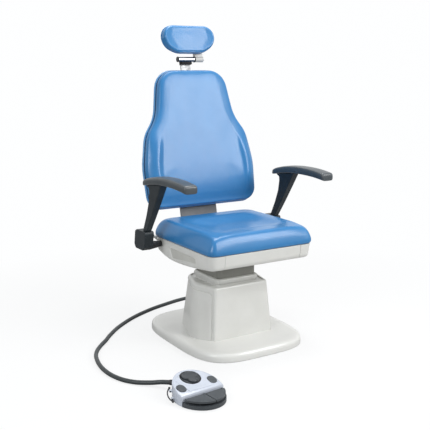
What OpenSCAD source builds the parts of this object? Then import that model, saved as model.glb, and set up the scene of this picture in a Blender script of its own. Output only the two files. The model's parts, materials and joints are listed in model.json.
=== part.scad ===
// Ear, nose and throat examination chair. A moulded column holds an electric lift,
// the seat swivels on it, the back reclines on a tubular gear motor, the headrest
// slides, folds and tilts, the armrests swing up, and a wired foot control works it all.
// Millimetres. The sitter faces -Y, +Z is up, and the origin is the middle of the
// underside of the base plate.

/* [Base] */
// Width of the base cover
base_w = 552; // [500:2:620]
// Depth of the base cover
base_d = 664; // [600:2:740]
// Height of the base cover's flat top above the floor
base_h = 42; // [38:1:52]
// Height of the upright rim below the rounded edge
base_rim_h = 20; // [18:1:24]
// How far the rounded edge reaches in from the rim
base_edge_run = 26; // [18:1:34]
// Wall of the base cover
base_wall = 4; // [3:0.5:5]
// Thickness of the steel base plate
plate_t = 18; // [14:1:20]

/* [Column] */
// Height of the column's top above the floor
column_top_z = 275; // [270:1:286]
// Width of the flat front at its foot
column_foot_w = 300; // [280:2:320]
// Width of the flat front at its head
column_head_w = 272; // [256:2:290]
// Greatest width over the side covers at the foot
belly_foot_w = 448; // [410:2:470]
// Greatest width over the side covers at the head
belly_head_w = 336; // [320:2:350]
// Width of the rear face at its foot
rear_foot_w = 270; // [240:2:290]
// Width of the rear face at its head
rear_head_w = 236; // [220:2:250]
// Wall of the column covers
column_wall = 4; // [3:0.5:5]

/* [Lift] */
// How far behind the base's middle the column's axis lies
mast_y = -10; // [-20:1:10]
// Side of the square outer mast
mast_w = 150; // [140:1:160]
// Wall of both masts
mast_wall = 6; // [4:0.5:8]
// Gap between the two masts, filled by glide pads
mast_gap = 6; // [5:0.5:8]
// Height of the outer mast's top above the floor
mast_top_z = 266; // [256:1:268]
// Width of the neck cover
neck_w = 200; // [196:1:206]
// Diameter of the lift's ram
ram_d = 36; // [30:1:40]

/* [Seat] */
// Width of the seat shell
seat_w = 520; // [490:2:560]
// Distance from the column's axis to the front of the seat shell
seat_front = 304; // [285:1:320]
// Distance from the column's axis to the rear of the seat shell
seat_rear = 225; // [215:1:235]
// Height of the seat shell's top edge above the floor
shell_top_z = 462; // [458:1:480]
// Height of the skirt at the front
skirt_front_h = 60; // [54:1:64]
// Height of the skirt at its deepest
skirt_deep_h = 90; // [84:1:90]
// Wall of the seat shell
shell_wall = 5; // [4:0.5:6]
// Height of the seat cushion's rim above the shell
cushion_h = 84; // [70:1:100]
// How deep the seat cushion dips below its rim
cushion_dip = 18; // [8:1:26]

/* [Backrest] */
// Length of the backrest along its face
back_h = 625; // [580:5:680]
// Greatest width of the backrest, low down
back_w = 576; // [540:2:584]
// Width of the backrest near its top
back_top_w = 340; // [300:2:380]
// Lean of the backrest from upright
back_lean = 12; // [8:1:16]
// Thickness of the back cushion at its edge
back_cushion_t = 38; // [32:1:44]
// Thickness of the rear shell of the backrest
back_shell_t = 14; // [12:1:18]
// How far the side bolsters stand in front of the cushion's edge
bolster_h = 20; // [8:1:28]

/* [Headrest] */
// Width of the headrest pad
head_w = 280; // [240:2:320]
// Height of the headrest pad
head_h = 126; // [110:1:140]
// Thickness of the headrest pad at its rim
head_t = 46; // [38:1:54]
// Width of the chrome headrest bar
bar_w = 50; // [40:1:56]
// Thickness of the chrome headrest bar
bar_t = 8; // [6:0.5:10]
// Length of the link from the lower pivot to the upper pivot
link_len = 82; // [76:1:96]

/* [Armrests] */
// Gap between the seat shell's side and an armrest's block
arm_gap = 61; // [54:1:68]
// Length of an armrest pad
pad_len = 396; // [360:2:430]
// Width of an armrest pad
pad_w = 64; // [52:1:68]
// Thickness of an armrest pad
pad_t = 34; // [26:1:38]
// Height of an armrest pad's crown above the floor
pad_top_z = 772; // [740:1:800]
// Diameter of the pin that an armrest swings on
arm_pin_d = 18; // [14:1:20]

/* [Foot control] */
// Width of the foot control
foot_w = 194; // [180:2:220]
// Depth of the foot control
foot_d = 222; // [210:2:250]
// Height of the housing at its front edge
foot_front_z = 43; // [40:1:48]
// Slope of the housing's top
foot_tilt = 14.5; // [12:0.5:16]
// Diameter of the rocker's well
rocker_d = 78; // [70:1:80]
// Width of an oval button
button_w = 33; // [28:1:36]
// Length of an oval button
button_l = 42; // [38:1:46]
// Thickness of a pedal
pedal_t = 8; // [6:0.5:9]
// Place of the foot control across the floor
foot_x = -455; // [-480:5:-430]
// Place of the foot control along the floor
foot_y = -545; // [-560:5:-530]
// Turn of the foot control on the floor
foot_turn = 5; // [0:1:10]

/* [Cable] */
// Diameter of the foot control's cable
cable_d = 18; // [14:1:18]

/* [Hidden] */
$fn = 64;

// Clearances and overruns that the whole chair shares
cut = 1;              // overrun of every cut
run_fit = 0.05;       // radial clearance of a turning or sliding fit
body_gap = 0.3;       // gap between pieces that move apart
seam = 0.6;           // gap between two covers
loose = 1;            // clearance round a piece that needs none of its neighbour's walls

// Column: places along Y are measured from the column's axis
front_foot_y = -152;
front_head_y = -134;
belly_foot_y = -58;
belly_head_y = 4;
rear_foot_y = 182;
rear_head_y = 150;
front_corner_r = 14;
belly_corner_r = 110;
rear_corner_r = 66;
column_edge_r = 9;
column_flange = 12;
column_levels = 4;
column_fill = [1, 2, 2, 2, 1, 2];
panel_step = 2;
panel_step_z = column_top_z - 2 * column_edge_r;
corner_steps = 6;
seam_steps = 5;

// Lift
flange_w = 200;
flange_t = 10;
bolt_d = 12;
bolt_head_d = 19;
bolt_head_h = 8;
bolt_depth = 12;
bolt_inset = 14;
gearbox_h = 26;
gearbox_w = 70;
motor_d = 62;
motor_x = -134;
motor_h = 130;
tube_d = 50;
tube_top_z = 252;
inner_mast_z = 60;
inner_mast_w = mast_w - 2 * mast_wall - 2 * mast_gap;
glide_h = 26;
glide_w = 0.8 * inner_mast_w;
head_plate_t = 8;
head_plate_w = 188;
head_plate_top_z = 360;
ram_seat = 24;
neck_wall = 3;
neck_r = 22;
neck_bottom_z = 92;
collar_t = 4;
collar_lip_h = 12;
collar_lip_w = 5;
control_box_w = 90;
control_box_d = 56;
control_box_h = 150;

// Swivel
race_d = 170;
race_t = 12;
spigot_d = 70;
spigot_wall = 6;
upper_race_t = 16;

// Seat: places along Y are measured from the column's axis
shell_corner_r = 38;
shell_rear_r = 60;
shell_edge_r = 16;
shell_draft = 6;
shell_sag_y = 40;
shell_rise = 46;
floor_hole_r = 104;
notch_half_w = 104;
panel_inset = 67;
panel_half_w = seat_w / 2 - panel_inset;
recess_depth = 2;
recess_corner_r = 7;
board_t = 12;
frame_plate_w = 208;
frame_plate_t = 8;
rail_w = 30;
rail_h = 38;
rail_inset = 110;
rail_x = seat_w / 2 - rail_inset;
cross_w = 40;
frame_front = 256;
frame_rear = 150;
axis_y = 210;
axis_z = 436;
recline_motor_d = 42;
recline_motor_w = 124;
lug_t = 8;
shaft_d = 16;
bracket_t = 8;
bracket_half_w = 98;
bracket_arm_t = 12;

// Backrest
back_y = 155;
back_z = 590;
back_low_corner_r = 60;
back_side_r = 300;
back_shoulder_r = 150;
back_waist_r = 180;
back_top_r = 90;
back_wall = 4;
back_crown = 26;
back_crown_run = 80;
bracket_rise = 400;
back_piping = 3;
guide_w = 78;
guide_wall = 4;
guide_h = 112;

// Headrest
bar_hidden = 250;
bar_show = 46;
bar_over = 4;
pivot_d = 24;
pivot_w = 92;
link_w = 42;
link_t = 12;
hub_d = 26;
pin_d = 12;
knuckle_d = 20;
head_plate_rear_t = 5;
head_rim_dip = 12;
link_back = 20;
head_lift = 3;

// Armrests
block_w = 44;
arm_x = seat_w / 2 + arm_gap + block_w / 2;
block_d = 96;
block_top_z = 510;
block_low_z = 423;
arm_axis_y = 135;
arm_axis_z = 436;
arm_boss_inset = 24;
arm_boss_x = seat_w / 2 - arm_boss_inset;
arm_collar_d = 26;
sleeve_d = 42;
sleeve_x = seat_w / 2 + 2 * loose;
pin_cover = 5;
lug_bar_d = 12;
post_top_w = 38;
post_foot_w = 26;
post_reach = 200;
pad_front_y = -302;

// Foot control: places are in the control's own frame, whose origin is the middle of its oval
foot_split_v = -25;
foot_pad_h = 3;
foot_pad_d = 16;
foot_base_t = 17;
foot_edge_r = 7;
foot_wall = 4;
foot_spine_h = 1.2;
button_inset = 27;
button_u = foot_w / 2 - button_inset;
button_v = 15;
button_rise = 3;
button_flange = 1.5;
rocker_v = 58;
rocker_well = 19;
rocker_wall = 3;
rocker_rise = 8;
rocker_axis = 9;
gimbal_reach = 16;
gimbal_d = 5;
pedal_z = 27;
pedal_travel_h = 2;
pedal_lug_x = 0.42 * foot_w;
pedal_setback = 9;
pedal_axis_v = foot_split_v - pedal_setback;
pedal_pin_d = 4;
pedal_barrel_d = 9;
pedal_gap = 3;
wire_d = 5;
ear_w = 8;
bail_len = 72;
bail_stub = 20;
bail_reach = 13;
bail_turn = 22;
bail_tilt = 20;
bail_z = 11;
bail_knob_d = 9;
relief_len = 50;

// Cable: the route's points lie on the cable's centre line, chosen by hand
gland_nut = 14;
cable_sides = 10;
cable_steps = 2;
cable_route = [
    [80, 208, 62], [80, 216, 62], [80, 230, 62], [84, 258, 59], [94, 295, 55], [112, 335, 48], [136, 380, 26],
    [157, 418, 13], [171, 456, 9.5], [162, 510, 9], [120, 542, 9], [60, 538, 9], [-20, 516, 9],
    [-140, 474, 9], [-270, 406, 9], [-385, 320, 9], [-465, 240, 9], [-512, 184, 9],
    [-562, 130, 9], [-602, 76, 9], [-630, 14, 9], [-651, -76, 9], [-654, -166, 9],
    [-636, -245, 9], [-603, -302, 10], [-560, -345, 14], [-527, -378, 21], [-505, -408, 26]
];

// Vector and outline helpers
function unit(v) = v / norm(v);
function flat(lists) = [for (list = lists) each list];
function mix(a, b, t) = a + (b - a) * t;
function middle(ring) = [for (axis = [0:2]) [for (p = ring) p[axis]] * [for (p = ring) 1] / len(ring)];
function raise(ring, z) = [for (p = ring) [p.x, p.y, z]];
function power(value, exponent) = sign(value) * pow(abs(value), exponent);
function smooth(t) = let (k = min(max(t, 0), 1)) k * k * (3 - 2 * k);

// The point where a corner of an outline moves when the outline shrinks by inset
function moved_corner(a, b, c, inset) =
    let (u = unit(a - b), v = unit(c - b), bend = u.x * v.y - u.y * v.x,
         side = bend < 0 ? 1 : -1, half = acos(u * v) / 2)
    b + side * unit(u + v) * inset / sin(half);

// One rounded corner as a row of points, for a convex or a hollow corner
function corner(a, b, c, r, steps) =
    let (u = unit(a - b), v = unit(c - b), half = acos(u * v) / 2,
         hub = b + unit(u + v) * r / sin(half), start = b + u * r / tan(half) - hub,
         turn = (u.x * v.y - u.y * v.x < 0 ? 1 : -1) * (180 - 2 * half))
    [for (i = [0:steps]) let (a = turn * i / steps)
        hub + [start.x * cos(a) - start.y * sin(a), start.x * sin(a) + start.y * cos(a)]];

// An outline through corner points, counter-clockwise, each rounded with its own radius
function rounded(points, radii, steps) =
    let (n = len(points))
    [for (i = [0:n - 1]) each corner(points[(i + n - 1) % n], points[i], points[(i + 1) % n], radii[i], steps)];

// The same outline with some points spread along the straight run after each corner
function filled(points, radii, steps, extra) =
    let (n = len(points), bends = [for (i = [0:n - 1])
        corner(points[(i + n - 1) % n], points[i], points[(i + 1) % n], radii[i], steps)])
    [for (i = [0:n - 1]) each concat(bends[i], [for (k = [1:1:extra[i]])
        mix(bends[i][steps], bends[(i + 1) % n][0], k / (extra[i] + 1))])];

function shrunk(points, inset) =
    let (n = len(points))
    [for (i = [0:n - 1]) moved_corner(points[(i + n - 1) % n], points[i], points[(i + 1) % n], inset)];

function mirrored(points) =
    concat(points, [for (i = [len(points) - 1:-1:0]) [-points[i].x, points[i].y]]);
function mirrored_values(values) = concat(values, [for (i = [len(values) - 1:-1:0]) values[i]]);

// A closed skin through rings of equally many points. With loop, the last ring joins the first.
// From the ring fold on, the inner side of a wall, the facets' diagonals run the same way in space.
module skin(rings, loop = false, flip = false, fold = 1000) {
    n = len(rings[0]);
    m = len(rings);
    ends = loop ? [] : [middle(rings[0]), middle(rings[m - 1])];
    sides = [for (i = [0:m - (loop ? 1 : 2)], j = [0:n - 1])
        let (k = (j + 1) % n, low = i * n, high = ((i + 1) % m) * n)
        each i < fold ? [[low + j, high + j, high + k], [low + j, high + k, low + k]]
            : [[low + j, high + j, low + k], [high + j, high + k, low + k]]];
    caps = loop ? [] : [for (j = [0:n - 1]) let (k = (j + 1) % n, last = (m - 1) * n)
        each [[m * n, j, k], [m * n + 1, last + k, last + j]]];
    faces = concat(sides, caps);
    polyhedron(concat(flat(rings), ends), flip ? [for (f = faces) [f[2], f[1], f[0]]] : faces);
}

// A bent strip of wall: rings share one closed profile, outer half first, and run from first to last
module strip(profile_rings, first, last) {
    n = len(profile_rings[0]);
    m = len(profile_rings);
    rings = [for (j = [first:last]) [for (ring = profile_rings) ring[j % n]]];
    count = len(rings);
    half = m / 2;
    sides = [for (i = [0:count - 2], j = [0:m - 1])
        let (k = (j + 1) % m, low = i * m, high = (i + 1) * m)
        each j < half ? [[low + j, high + k, high + j], [low + j, low + k, high + k]]
            : [[low + j, low + k, high + j], [low + k, high + k, high + j]]];
    caps = [for (end = [0, 1], j = [0:half - 2])
        let (base = end * (count - 1) * m, a = base + j, b = base + j + 1,
             c = base + m - 2 - j, d = base + m - 1 - j)
        each (end == 0 ? [[a, c, b], [a, d, c]] : [[a, b, c], [a, c, d]])];
    polyhedron(flat(rings), concat(sides, caps));
}

// A rectangle with round corners, flat
module round_rect(w, d, r) {
    square([w - 2 * r, d], center = true);
    square([w, d - 2 * r], center = true);
    for (x = [-1, 1], y = [-1, 1]) translate([x * (w / 2 - r), y * (d / 2 - r)]) circle(r);
}

module round_tube(w, d, r, wall, h) {
    difference() {
        linear_extrude(h) round_rect(w, d, r);
        translate([0, 0, -cut]) linear_extrude(h + 2 * cut) round_rect(w - 2 * wall, d - 2 * wall, r - wall);
    }
}

module on_mast(z) { translate([0, mast_y, z]) children(); }
module along_x(x) { translate([x, 0, 0]) rotate([0, 90, 0]) children(); }

// Base
base_power_share = 0.52;
base_points = 56;
hole_inset = 12;
base_ledge = 12;
rim_gap = 1.5;
function oval(a, b, middle_y) = [for (i = [0:base_points - 1]) let (t = 360 * (i + 0.5) / base_points)
    [a * power(cos(t), base_power_share), middle_y + b * power(sin(t), base_power_share)]];
function base_ring(inset) = oval(base_w / 2 - inset, base_d / 2 - inset, 0);

module base_plate() {
    color([0.42, 0.43, 0.44]) difference() {
        linear_extrude(plate_t) polygon(base_ring(base_wall + seam));
        on_mast(plate_t - bolt_depth) mast_bolt_places() cylinder(d = bolt_d, h = bolt_depth + cut);
    }
}

module base_cover() {
    drop = base_h - base_rim_h;
    edge_steps = 4;
    outer = [for (i = [0:edge_steps]) let (a = 90 * i / edge_steps)
        raise(base_ring(base_edge_run * (1 - cos(a))), base_rim_h + drop * sin(a))];
    inner = [for (i = [edge_steps:-1:0]) let (a = 90 * i / edge_steps)
        raise(base_ring(base_wall + base_ledge + (base_edge_run - base_ledge) * (1 - cos(a))),
              base_rim_h + (drop - base_wall) * sin(a))];
    ledge = [raise(base_ring(base_wall + base_ledge), plate_t), raise(base_ring(base_wall), plate_t),
             raise(base_ring(base_wall), rim_gap), raise(base_ring(0), rim_gap)];
    color([0.89, 0.89, 0.87]) difference() {
        skin(concat(inner, ledge, outer));
        translate([0, 0, plate_t + cut]) linear_extrude(base_h)
            polygon([for (p = column_ring(base_h, hole_inset)) [p.x, p.y]]);
    }
}

// Lift
module mast_bolt_places() {
    for (x = [-1, 1], y = [-1, 1])
        translate([x * (flange_w / 2 - bolt_inset), y * (flange_w / 2 - bolt_inset), 0]) children();
}

module outer_mast() {
    slot_w = gearbox_w + 2 * loose;
    color([0.32, 0.33, 0.35]) on_mast(0) difference() {
        union() {
            translate([0, 0, plate_t]) linear_extrude(flange_t) round_rect(flange_w, flange_w, bolt_inset);
            translate([0, 0, plate_t]) round_tube(mast_w, mast_w, 2 * mast_wall, mast_wall, mast_top_z - plate_t);
            translate([0, 0, plate_t + flange_t]) mast_bolt_places()
                cylinder(d = bolt_head_d, h = bolt_head_h, $fn = 6);
            translate([0, 0, plate_t - bolt_depth]) mast_bolt_places() cylinder(d = bolt_d, h = bolt_depth + flange_t);
        }
        translate([-mast_w, -slot_w / 2, plate_t + flange_t]) cube([mast_w, slot_w, gearbox_h + loose]);
    }
}

// Four flat glide pads round the inner mast, each lying against one wall
module glides(z, inner, outer) {
    color([0.92, 0.92, 0.88]) on_mast(z) for (a = [0:90:270]) rotate(a)
        translate([-glide_w / 2, inner, 0]) cube([glide_w, outer - inner, glide_h]);
}

module top_glides() {
    glides(mast_top_z - glide_h, inner_mast_w / 2 + body_gap, mast_w / 2 - mast_wall);
}

module bottom_glides() {
    glides(inner_mast_z, inner_mast_w / 2, mast_w / 2 - mast_wall - body_gap);
}

module lift_actuator() {
    cap_h = 0.12 * motor_h;
    right = tube_d / 2 + mast_gap;
    left = motor_x - motor_d / 2 - loose;
    color([0.3, 0.31, 0.33]) on_mast(plate_t + flange_t) {
        translate([left, -gearbox_w / 2, 0]) cube([right - left, gearbox_w, gearbox_h]);
        translate([motor_x, 0, gearbox_h]) {
            cylinder(d = motor_d, h = motor_h - cap_h);
            translate([0, 0, motor_h - cap_h]) cylinder(d1 = motor_d, d2 = 0.8 * motor_d, h = cap_h);
        }
        translate([0, 0, gearbox_h]) difference() {
            cylinder(d = tube_d, h = tube_top_z - tube_low_z);
            translate([0, 0, ram_seat - loose]) cylinder(d = ram_d + 2 * run_fit, h = tube_top_z);
        }
    }
}

tube_low_z = plate_t + flange_t + gearbox_h;
ram_low_z = tube_low_z + ram_seat;
ram_h = head_plate_top_z - head_plate_t - ram_low_z;

module lift_ram() {
    color([0.8, 0.81, 0.83]) on_mast(ram_low_z) cylinder(d = ram_d, h = ram_h);
}

module inner_mast() {
    color([0.36, 0.37, 0.39]) on_mast(0) union() {
        translate([0, 0, inner_mast_z]) round_tube(inner_mast_w, inner_mast_w, 2 * mast_wall, mast_wall,
            head_plate_top_z - head_plate_t - inner_mast_z);
        translate([0, 0, head_plate_top_z - head_plate_t])
            linear_extrude(head_plate_t) round_rect(head_plate_w, head_plate_w, neck_r);
    }
}

module neck_cover() {
    color([0.8, 0.8, 0.78]) on_mast(0) union() {
        translate([0, 0, neck_bottom_z]) round_tube(neck_w, neck_w, neck_r, neck_wall, head_plate_top_z - neck_bottom_z);
        translate([0, 0, head_plate_top_z]) difference() {
            linear_extrude(neck_wall) round_rect(neck_w, neck_w, neck_r);
            translate([0, 0, -cut]) cylinder(d = race_d + 2 * loose, h = neck_wall + 2 * cut);
        }
    }
}

module control_box() {
    color([0.24, 0.25, 0.27]) on_mast(plate_t)
        translate([-control_box_w / 2, neck_w / 2 + 2 * loose, 0]) cube([control_box_w, control_box_d, control_box_h]);
}

// Column covers
column_radii = mirrored_values([front_corner_r, belly_corner_r, rear_corner_r]);
column_foot = [[column_foot_w / 2, front_foot_y], [belly_foot_w / 2, belly_foot_y], [rear_foot_w / 2, rear_foot_y]];
column_head = [[column_head_w / 2, front_head_y], [belly_head_w / 2, belly_head_y], [rear_head_w / 2, rear_head_y]];
function column_ring(z, inset) =
    let (t = (z - base_h) / (column_top_z - base_h), plan = mirrored(mix(column_foot, column_head, t)))
    [for (p = filled(shrunk(plan, inset), [for (r = column_radii) r - inset], corner_steps, column_fill))
        [p.x, p.y + mast_y, z]];

// The wall's profile from the foot over the rounded top edge to the flange and back, inside
function column_profile(step) = concat(
    [for (i = [0:column_levels]) column_ring(mix(base_h, panel_step_z, i / column_levels), step)],
    [column_ring(panel_step_z + panel_step, 0)],
    [for (a = [0:30:90]) column_ring(column_top_z - column_edge_r * (1 - sin(a)), column_edge_r * (1 - cos(a)))],
    [column_ring(column_top_z, column_flange), column_ring(column_top_z - column_wall, column_flange)],
    [for (a = [90:-30:0]) column_ring(column_top_z - column_wall - (column_edge_r - column_wall) * (1 - sin(a)),
        column_wall + (column_edge_r - column_wall) * (1 - cos(a)))],
    [column_ring(panel_step_z + panel_step, column_wall)],
    [for (i = [column_levels:-1:0]) column_ring(mix(base_h, panel_step_z, i / column_levels), column_wall + step)]);

// Where along the outline the covers part: three ring points past a corner's start, the same on both sides
corner_points = corner_steps + 1;
column_points = 6 * corner_points + 2 * column_fill[0] + 2 * column_fill[1] + column_fill[2] + column_fill[5];
last_corner_point = column_points - column_fill[5] - 1;
front_part = seam_steps;
rear_part = 2 * corner_points + column_fill[0] + column_fill[1] + corner_steps / 3;

module column_front_cover() {
    color([0.86, 0.86, 0.855]) strip(column_profile(0), last_corner_point - front_part, column_points + front_part);
}
module column_right_cover() {
    color([0.8, 0.8, 0.79]) strip(column_profile(panel_step), front_part, rear_part);
}
module column_left_cover() {
    color([0.8, 0.8, 0.79])
        strip(column_profile(panel_step), last_corner_point - rear_part, last_corner_point - front_part);
}
module column_rear_cover() {
    wall_t = column_wall + panel_step;
    color([0.84, 0.84, 0.83]) difference() {
        strip(column_profile(panel_step), rear_part, last_corner_point - rear_part);
        translate([cable_route[0].x, mast_y + rear_foot_y + cut, cable_route[0].z]) rotate([90, 0, 0])
            cylinder(d = cable_d + 2 * loose, h = 4 * wall_t);
    }
}

module column_collar() {
    collar_z = column_top_z - column_wall - collar_t;
    outline = [for (p = column_ring(collar_z, column_edge_r + seam)) [p.x, p.y]];
    hole = neck_w + 2 * loose;
    lip = hole + 2 * collar_lip_w;
    color([0.78, 0.78, 0.77]) difference() {
        union() {
            translate([0, 0, collar_z]) linear_extrude(collar_t) polygon(outline);
            on_mast(collar_z) linear_extrude(collar_t + collar_lip_h) round_rect(lip, lip, neck_r + collar_lip_w);
        }
        on_mast(collar_z - cut) linear_extrude(collar_t + collar_lip_h + 2 * cut) round_rect(hole, hole, neck_r);
    }
}

// Swivel
module swivel_lower_race() {
    color([0.5, 0.51, 0.53]) on_mast(head_plate_top_z) difference() {
        union() {
            cylinder(d = race_d, h = race_t - body_gap);
            cylinder(d = spigot_d, h = race_t + upper_race_t / 2);
        }
        translate([0, 0, -cut]) cylinder(d = spigot_d - 2 * spigot_wall, h = race_t + upper_race_t);
    }
}
upper_race_z = head_plate_top_z + race_t;
frame_z = upper_race_z + upper_race_t;
module swivel_upper_race() {
    color([0.46, 0.47, 0.49]) on_mast(upper_race_z) difference() {
        cylinder(d = race_d, h = upper_race_t);
        translate([0, 0, -cut]) cylinder(d = spigot_d + 2 * run_fit, h = upper_race_t + 2 * cut);
    }
}

// Seat
rail_z = shell_top_z - board_t - rail_h;
module arm_pin_place(side) {
    translate([0, mast_y + arm_axis_y, arm_axis_z]) scale([side, 1, 1]) rotate([0, 90, 0]) children();
}
module seat_frame() {
    cross_z = frame_z + frame_plate_t;
    cross_h = rail_z - cross_z;
    rail_out = rail_x + rail_w / 2;
    lug_h = axis_z - rail_z;
    block = arm_boss_x - rail_out;
    color([0.3, 0.31, 0.33]) difference() {
        on_mast(0) union() {
            translate([0, 0, frame_z]) linear_extrude(frame_plate_t)
                round_rect(frame_plate_w, frame_plate_w, cross_w / 2);
            for (y = [-1, 1]) translate([-rail_out, y * (frame_plate_w - cross_w) / 2 - cross_w / 2, cross_z])
                cube([2 * rail_out, cross_w, cross_h]);
            for (x = [-1, 1]) translate([x * rail_x - rail_w / 2, -frame_front, rail_z])
                cube([rail_w, frame_front + frame_rear, rail_h]);
            for (y = [-frame_front, frame_rear - rail_w]) translate([-rail_out, y, rail_z])
                cube([2 * rail_out, rail_w, rail_h]);
            for (x = [-1, 1]) translate([x * (recline_motor_w + lug_t) / 2 - lug_t / 2, 0, 0]) {
                translate([0, frame_rear - rail_w, rail_z])
                    cube([lug_t, axis_y - frame_rear + rail_w, rail_h]);
                translate([0, axis_y, axis_z]) rotate([0, 90, 0]) cylinder(r = shaft_d, h = lug_t);
            }
            for (x = [-1, 1]) translate([x * (rail_out + block / 2) - block / 2, arm_axis_y - rail_w / 2, rail_z])
                cube([block, rail_w, rail_h]);
        }
        translate([-rail_out, mast_y + axis_y, axis_z]) rotate([0, 90, 0])
            cylinder(d = shaft_d + 2 * run_fit, h = 2 * rail_out);
        for (side = [-1, 1]) arm_pin_place(side) translate([0, 0, rail_out + loose])
            cylinder(d = arm_pin_d, h = block);
    }
}

function shell_ring(inset) =
    let (w = seat_w / 2 - inset, f = -seat_front + inset, b = seat_rear - inset,
         fr = max(shell_corner_r - inset, shell_wall), br = max(shell_rear_r - inset, shell_wall))
    filled([[w, b], [-w, b], [-w, f], [w, f]], [br, br, fr, fr], corner_steps + 1, [3, 9, 3, 9]);

// Height of the shell's underside along Y, measured from the column's axis
function underside(y) =
    let (front_z = shell_top_z - skirt_front_h, deep_z = shell_top_z - skirt_deep_h,
         t = (y + seat_front) / (shell_sag_y + seat_front), up = (y - shell_sag_y) / (seat_rear - shell_sag_y))
    y < shell_sag_y ? mix(front_z, deep_z, sin(90 * t)) : deep_z + shell_rise * pow(max(up, 0), 2);

// The skirt's ring that is inset, at share t of the skirt's height above the underside plus lift
function shell_level(inset, t, lift) =
    [for (p = shell_ring(inset)) [p.x, p.y + mast_y, mix(underside(p.y) + lift, shell_top_z, t)]];
function shell_flat(inset, z) = [for (p = shell_ring(inset)) [p.x, p.y + mast_y, z]];
function floor_ring(lift) = [for (p = shell_ring(0))
    let (d = unit(p) * floor_hole_r) [d.x, d.y + mast_y, underside(d.y) + lift]];

ledge_w = 10;
ledge_t = 5;
function shell_profile() = let (r = shell_edge_r - shell_wall, board_z = shell_top_z - board_t) concat(
    [floor_ring(0)],
    [for (a = [90:-30:0]) shell_level(shell_draft + shell_edge_r * (1 - cos(a)), 0, shell_edge_r * (1 - sin(a)))],
    [shell_flat(0, shell_top_z), shell_flat(shell_wall, shell_top_z), shell_flat(shell_wall, board_z),
     shell_flat(ledge_w, board_z), shell_flat(ledge_w, board_z - ledge_t),
     shell_flat(shell_wall + shell_draft, board_z - 2 * ledge_t)],
    [for (a = [0:30:90])
        shell_level(shell_draft + shell_wall + r * (1 - cos(a)), 0, shell_wall + r * (1 - sin(a)))],
    [floor_ring(shell_wall)]);

module seat_shell_body() { skin(shell_profile(), loop = true, fold = 6); }
module panel_box(half_w) {
    h = 2 * skirt_deep_h;
    translate([-half_w, mast_y - seat_front - cut, shell_top_z - h + cut])
        cube([2 * half_w, shell_edge_r + shell_draft + cut, h]);
}
module rear_notch() {
    notch_y = mast_y + axis_y - recline_motor_d / 2 - 2 * loose;
    translate([-notch_half_w, notch_y, shell_top_z - skirt_deep_h - cut])
        cube([2 * notch_half_w, seat_rear, skirt_deep_h + 2 * cut]);
}

// The long shallow recess in each side of the shell, tilted to follow the wall
module side_recess(side) {
    points = [for (p = recess_shares) [p.x * seat_front, -p.y * skirt_deep_h]];
    lean = atan(shell_draft / skirt_deep_h);
    translate([side * seat_w / 2, mast_y, shell_top_z]) scale([side, 1, 1]) rotate([0, lean, 0])
        translate([-recess_depth, 0, 0]) rotate([90, 0, 90]) linear_extrude(2 * shell_wall)
            polygon(rounded(points, [for (p = points) recess_corner_r], corner_steps));
}
recess_shares = [[-0.563, 0.62], [0.125, 0.855], [0.207, 0.29], [-0.546, 0.333]];

module seat_shell() {
    color([0.85, 0.85, 0.84]) difference() {
        seat_shell_body();
        panel_box(panel_half_w);
        rear_notch();
        side_recess(1);
        side_recess(-1);
        for (side = [-1, 1]) arm_pin_place(side) translate([0, 0, seat_w / 2 - 2 * ledge_w - shell_wall])
            cylinder(d = arm_collar_d + 2 * loose, h = 4 * ledge_w);
    }
}
module seat_front_panel() {
    color([0.85, 0.85, 0.84]) intersection() {
        seat_shell_body();
        panel_box(panel_half_w - seam);
    }
}
module seat_board() {
    color([0.62, 0.5, 0.36]) difference() {
        translate([0, 0, shell_top_z - board_t]) linear_extrude(board_t)
            polygon([for (p = shell_ring(shell_wall + body_gap)) [p.x, p.y + mast_y]]);
        rear_notch();
    }
}

// The seat cushion: each row is the inset at the side, front and rear, and the height's share
cushion_row_shares = [[0.02, 0.02, 0.03, 0], [0, 0, 0, 0.17], [0.012, 0.008, 0.006, 0.38],
    [0.045, 0.03, 0.05, 0.66], [0.08, 0.065, 0.12, 0.87], [0.125, 0.12, 0.22, 0.98], [0.18, 0.18, 0.33, 1],
    [0.26, 0.26, 0.44, 1], [0.36, 0.36, 0.54, 1], [0.5, 0.46, 0.64, 1]];
function cushion_ring(row) =
    let (half = seat_w / 2 + shell_wall / 2, w = half * (1 - row[0]), f = -seat_front - shell_wall / 2 + half * row[1],
         b = seat_rear - ledge_w - half * row[2], fr = max(shell_corner_r - half * row[1], 2 * shell_edge_r),
         br = max(0.75 * shell_rear_r - half * row[2], 2 * shell_edge_r),
         z = shell_top_z + row[3] * cushion_h - cushion_dip * smooth((row[0] - 0.14) / 0.3))
    [for (p = filled([[w, b], [-w, b], [-w, f], [w, f]], [br, br, fr, fr], corner_steps + 1, [3, 3, 3, 3]))
        [p.x, p.y + mast_y, z]];
module seat_cushion() {
    color([0.36, 0.53, 0.77]) skin([for (row = cushion_row_shares) cushion_ring(row)]);
}

module recline_motor() {
    color([0.2, 0.2, 0.22]) translate([0, mast_y + axis_y, axis_z]) along_x(-recline_motor_w / 2) difference() {
        cylinder(d = recline_motor_d, h = recline_motor_w);
        translate([0, 0, -cut]) cylinder(d = shaft_d + 2 * run_fit, h = recline_motor_w + 2 * cut);
    }
}

module armrest_pins() {
    start = rail_x + rail_w / 2 + loose;
    color([0.62, 0.63, 0.65]) for (side = [-1, 1]) arm_pin_place(side) {
        translate([0, 0, start]) cylinder(d = arm_pin_d, h = arm_x + block_w / 2 - pin_cover - loose - start);
        translate([0, 0, arm_boss_x]) cylinder(d = arm_collar_d, h = sleeve_x - arm_boss_x);
        translate([0, 0, sleeve_x])
            cylinder(d1 = arm_collar_d, d2 = sleeve_d, h = arm_x - block_w / 2 - body_gap - sleeve_x);
    }
}

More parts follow.
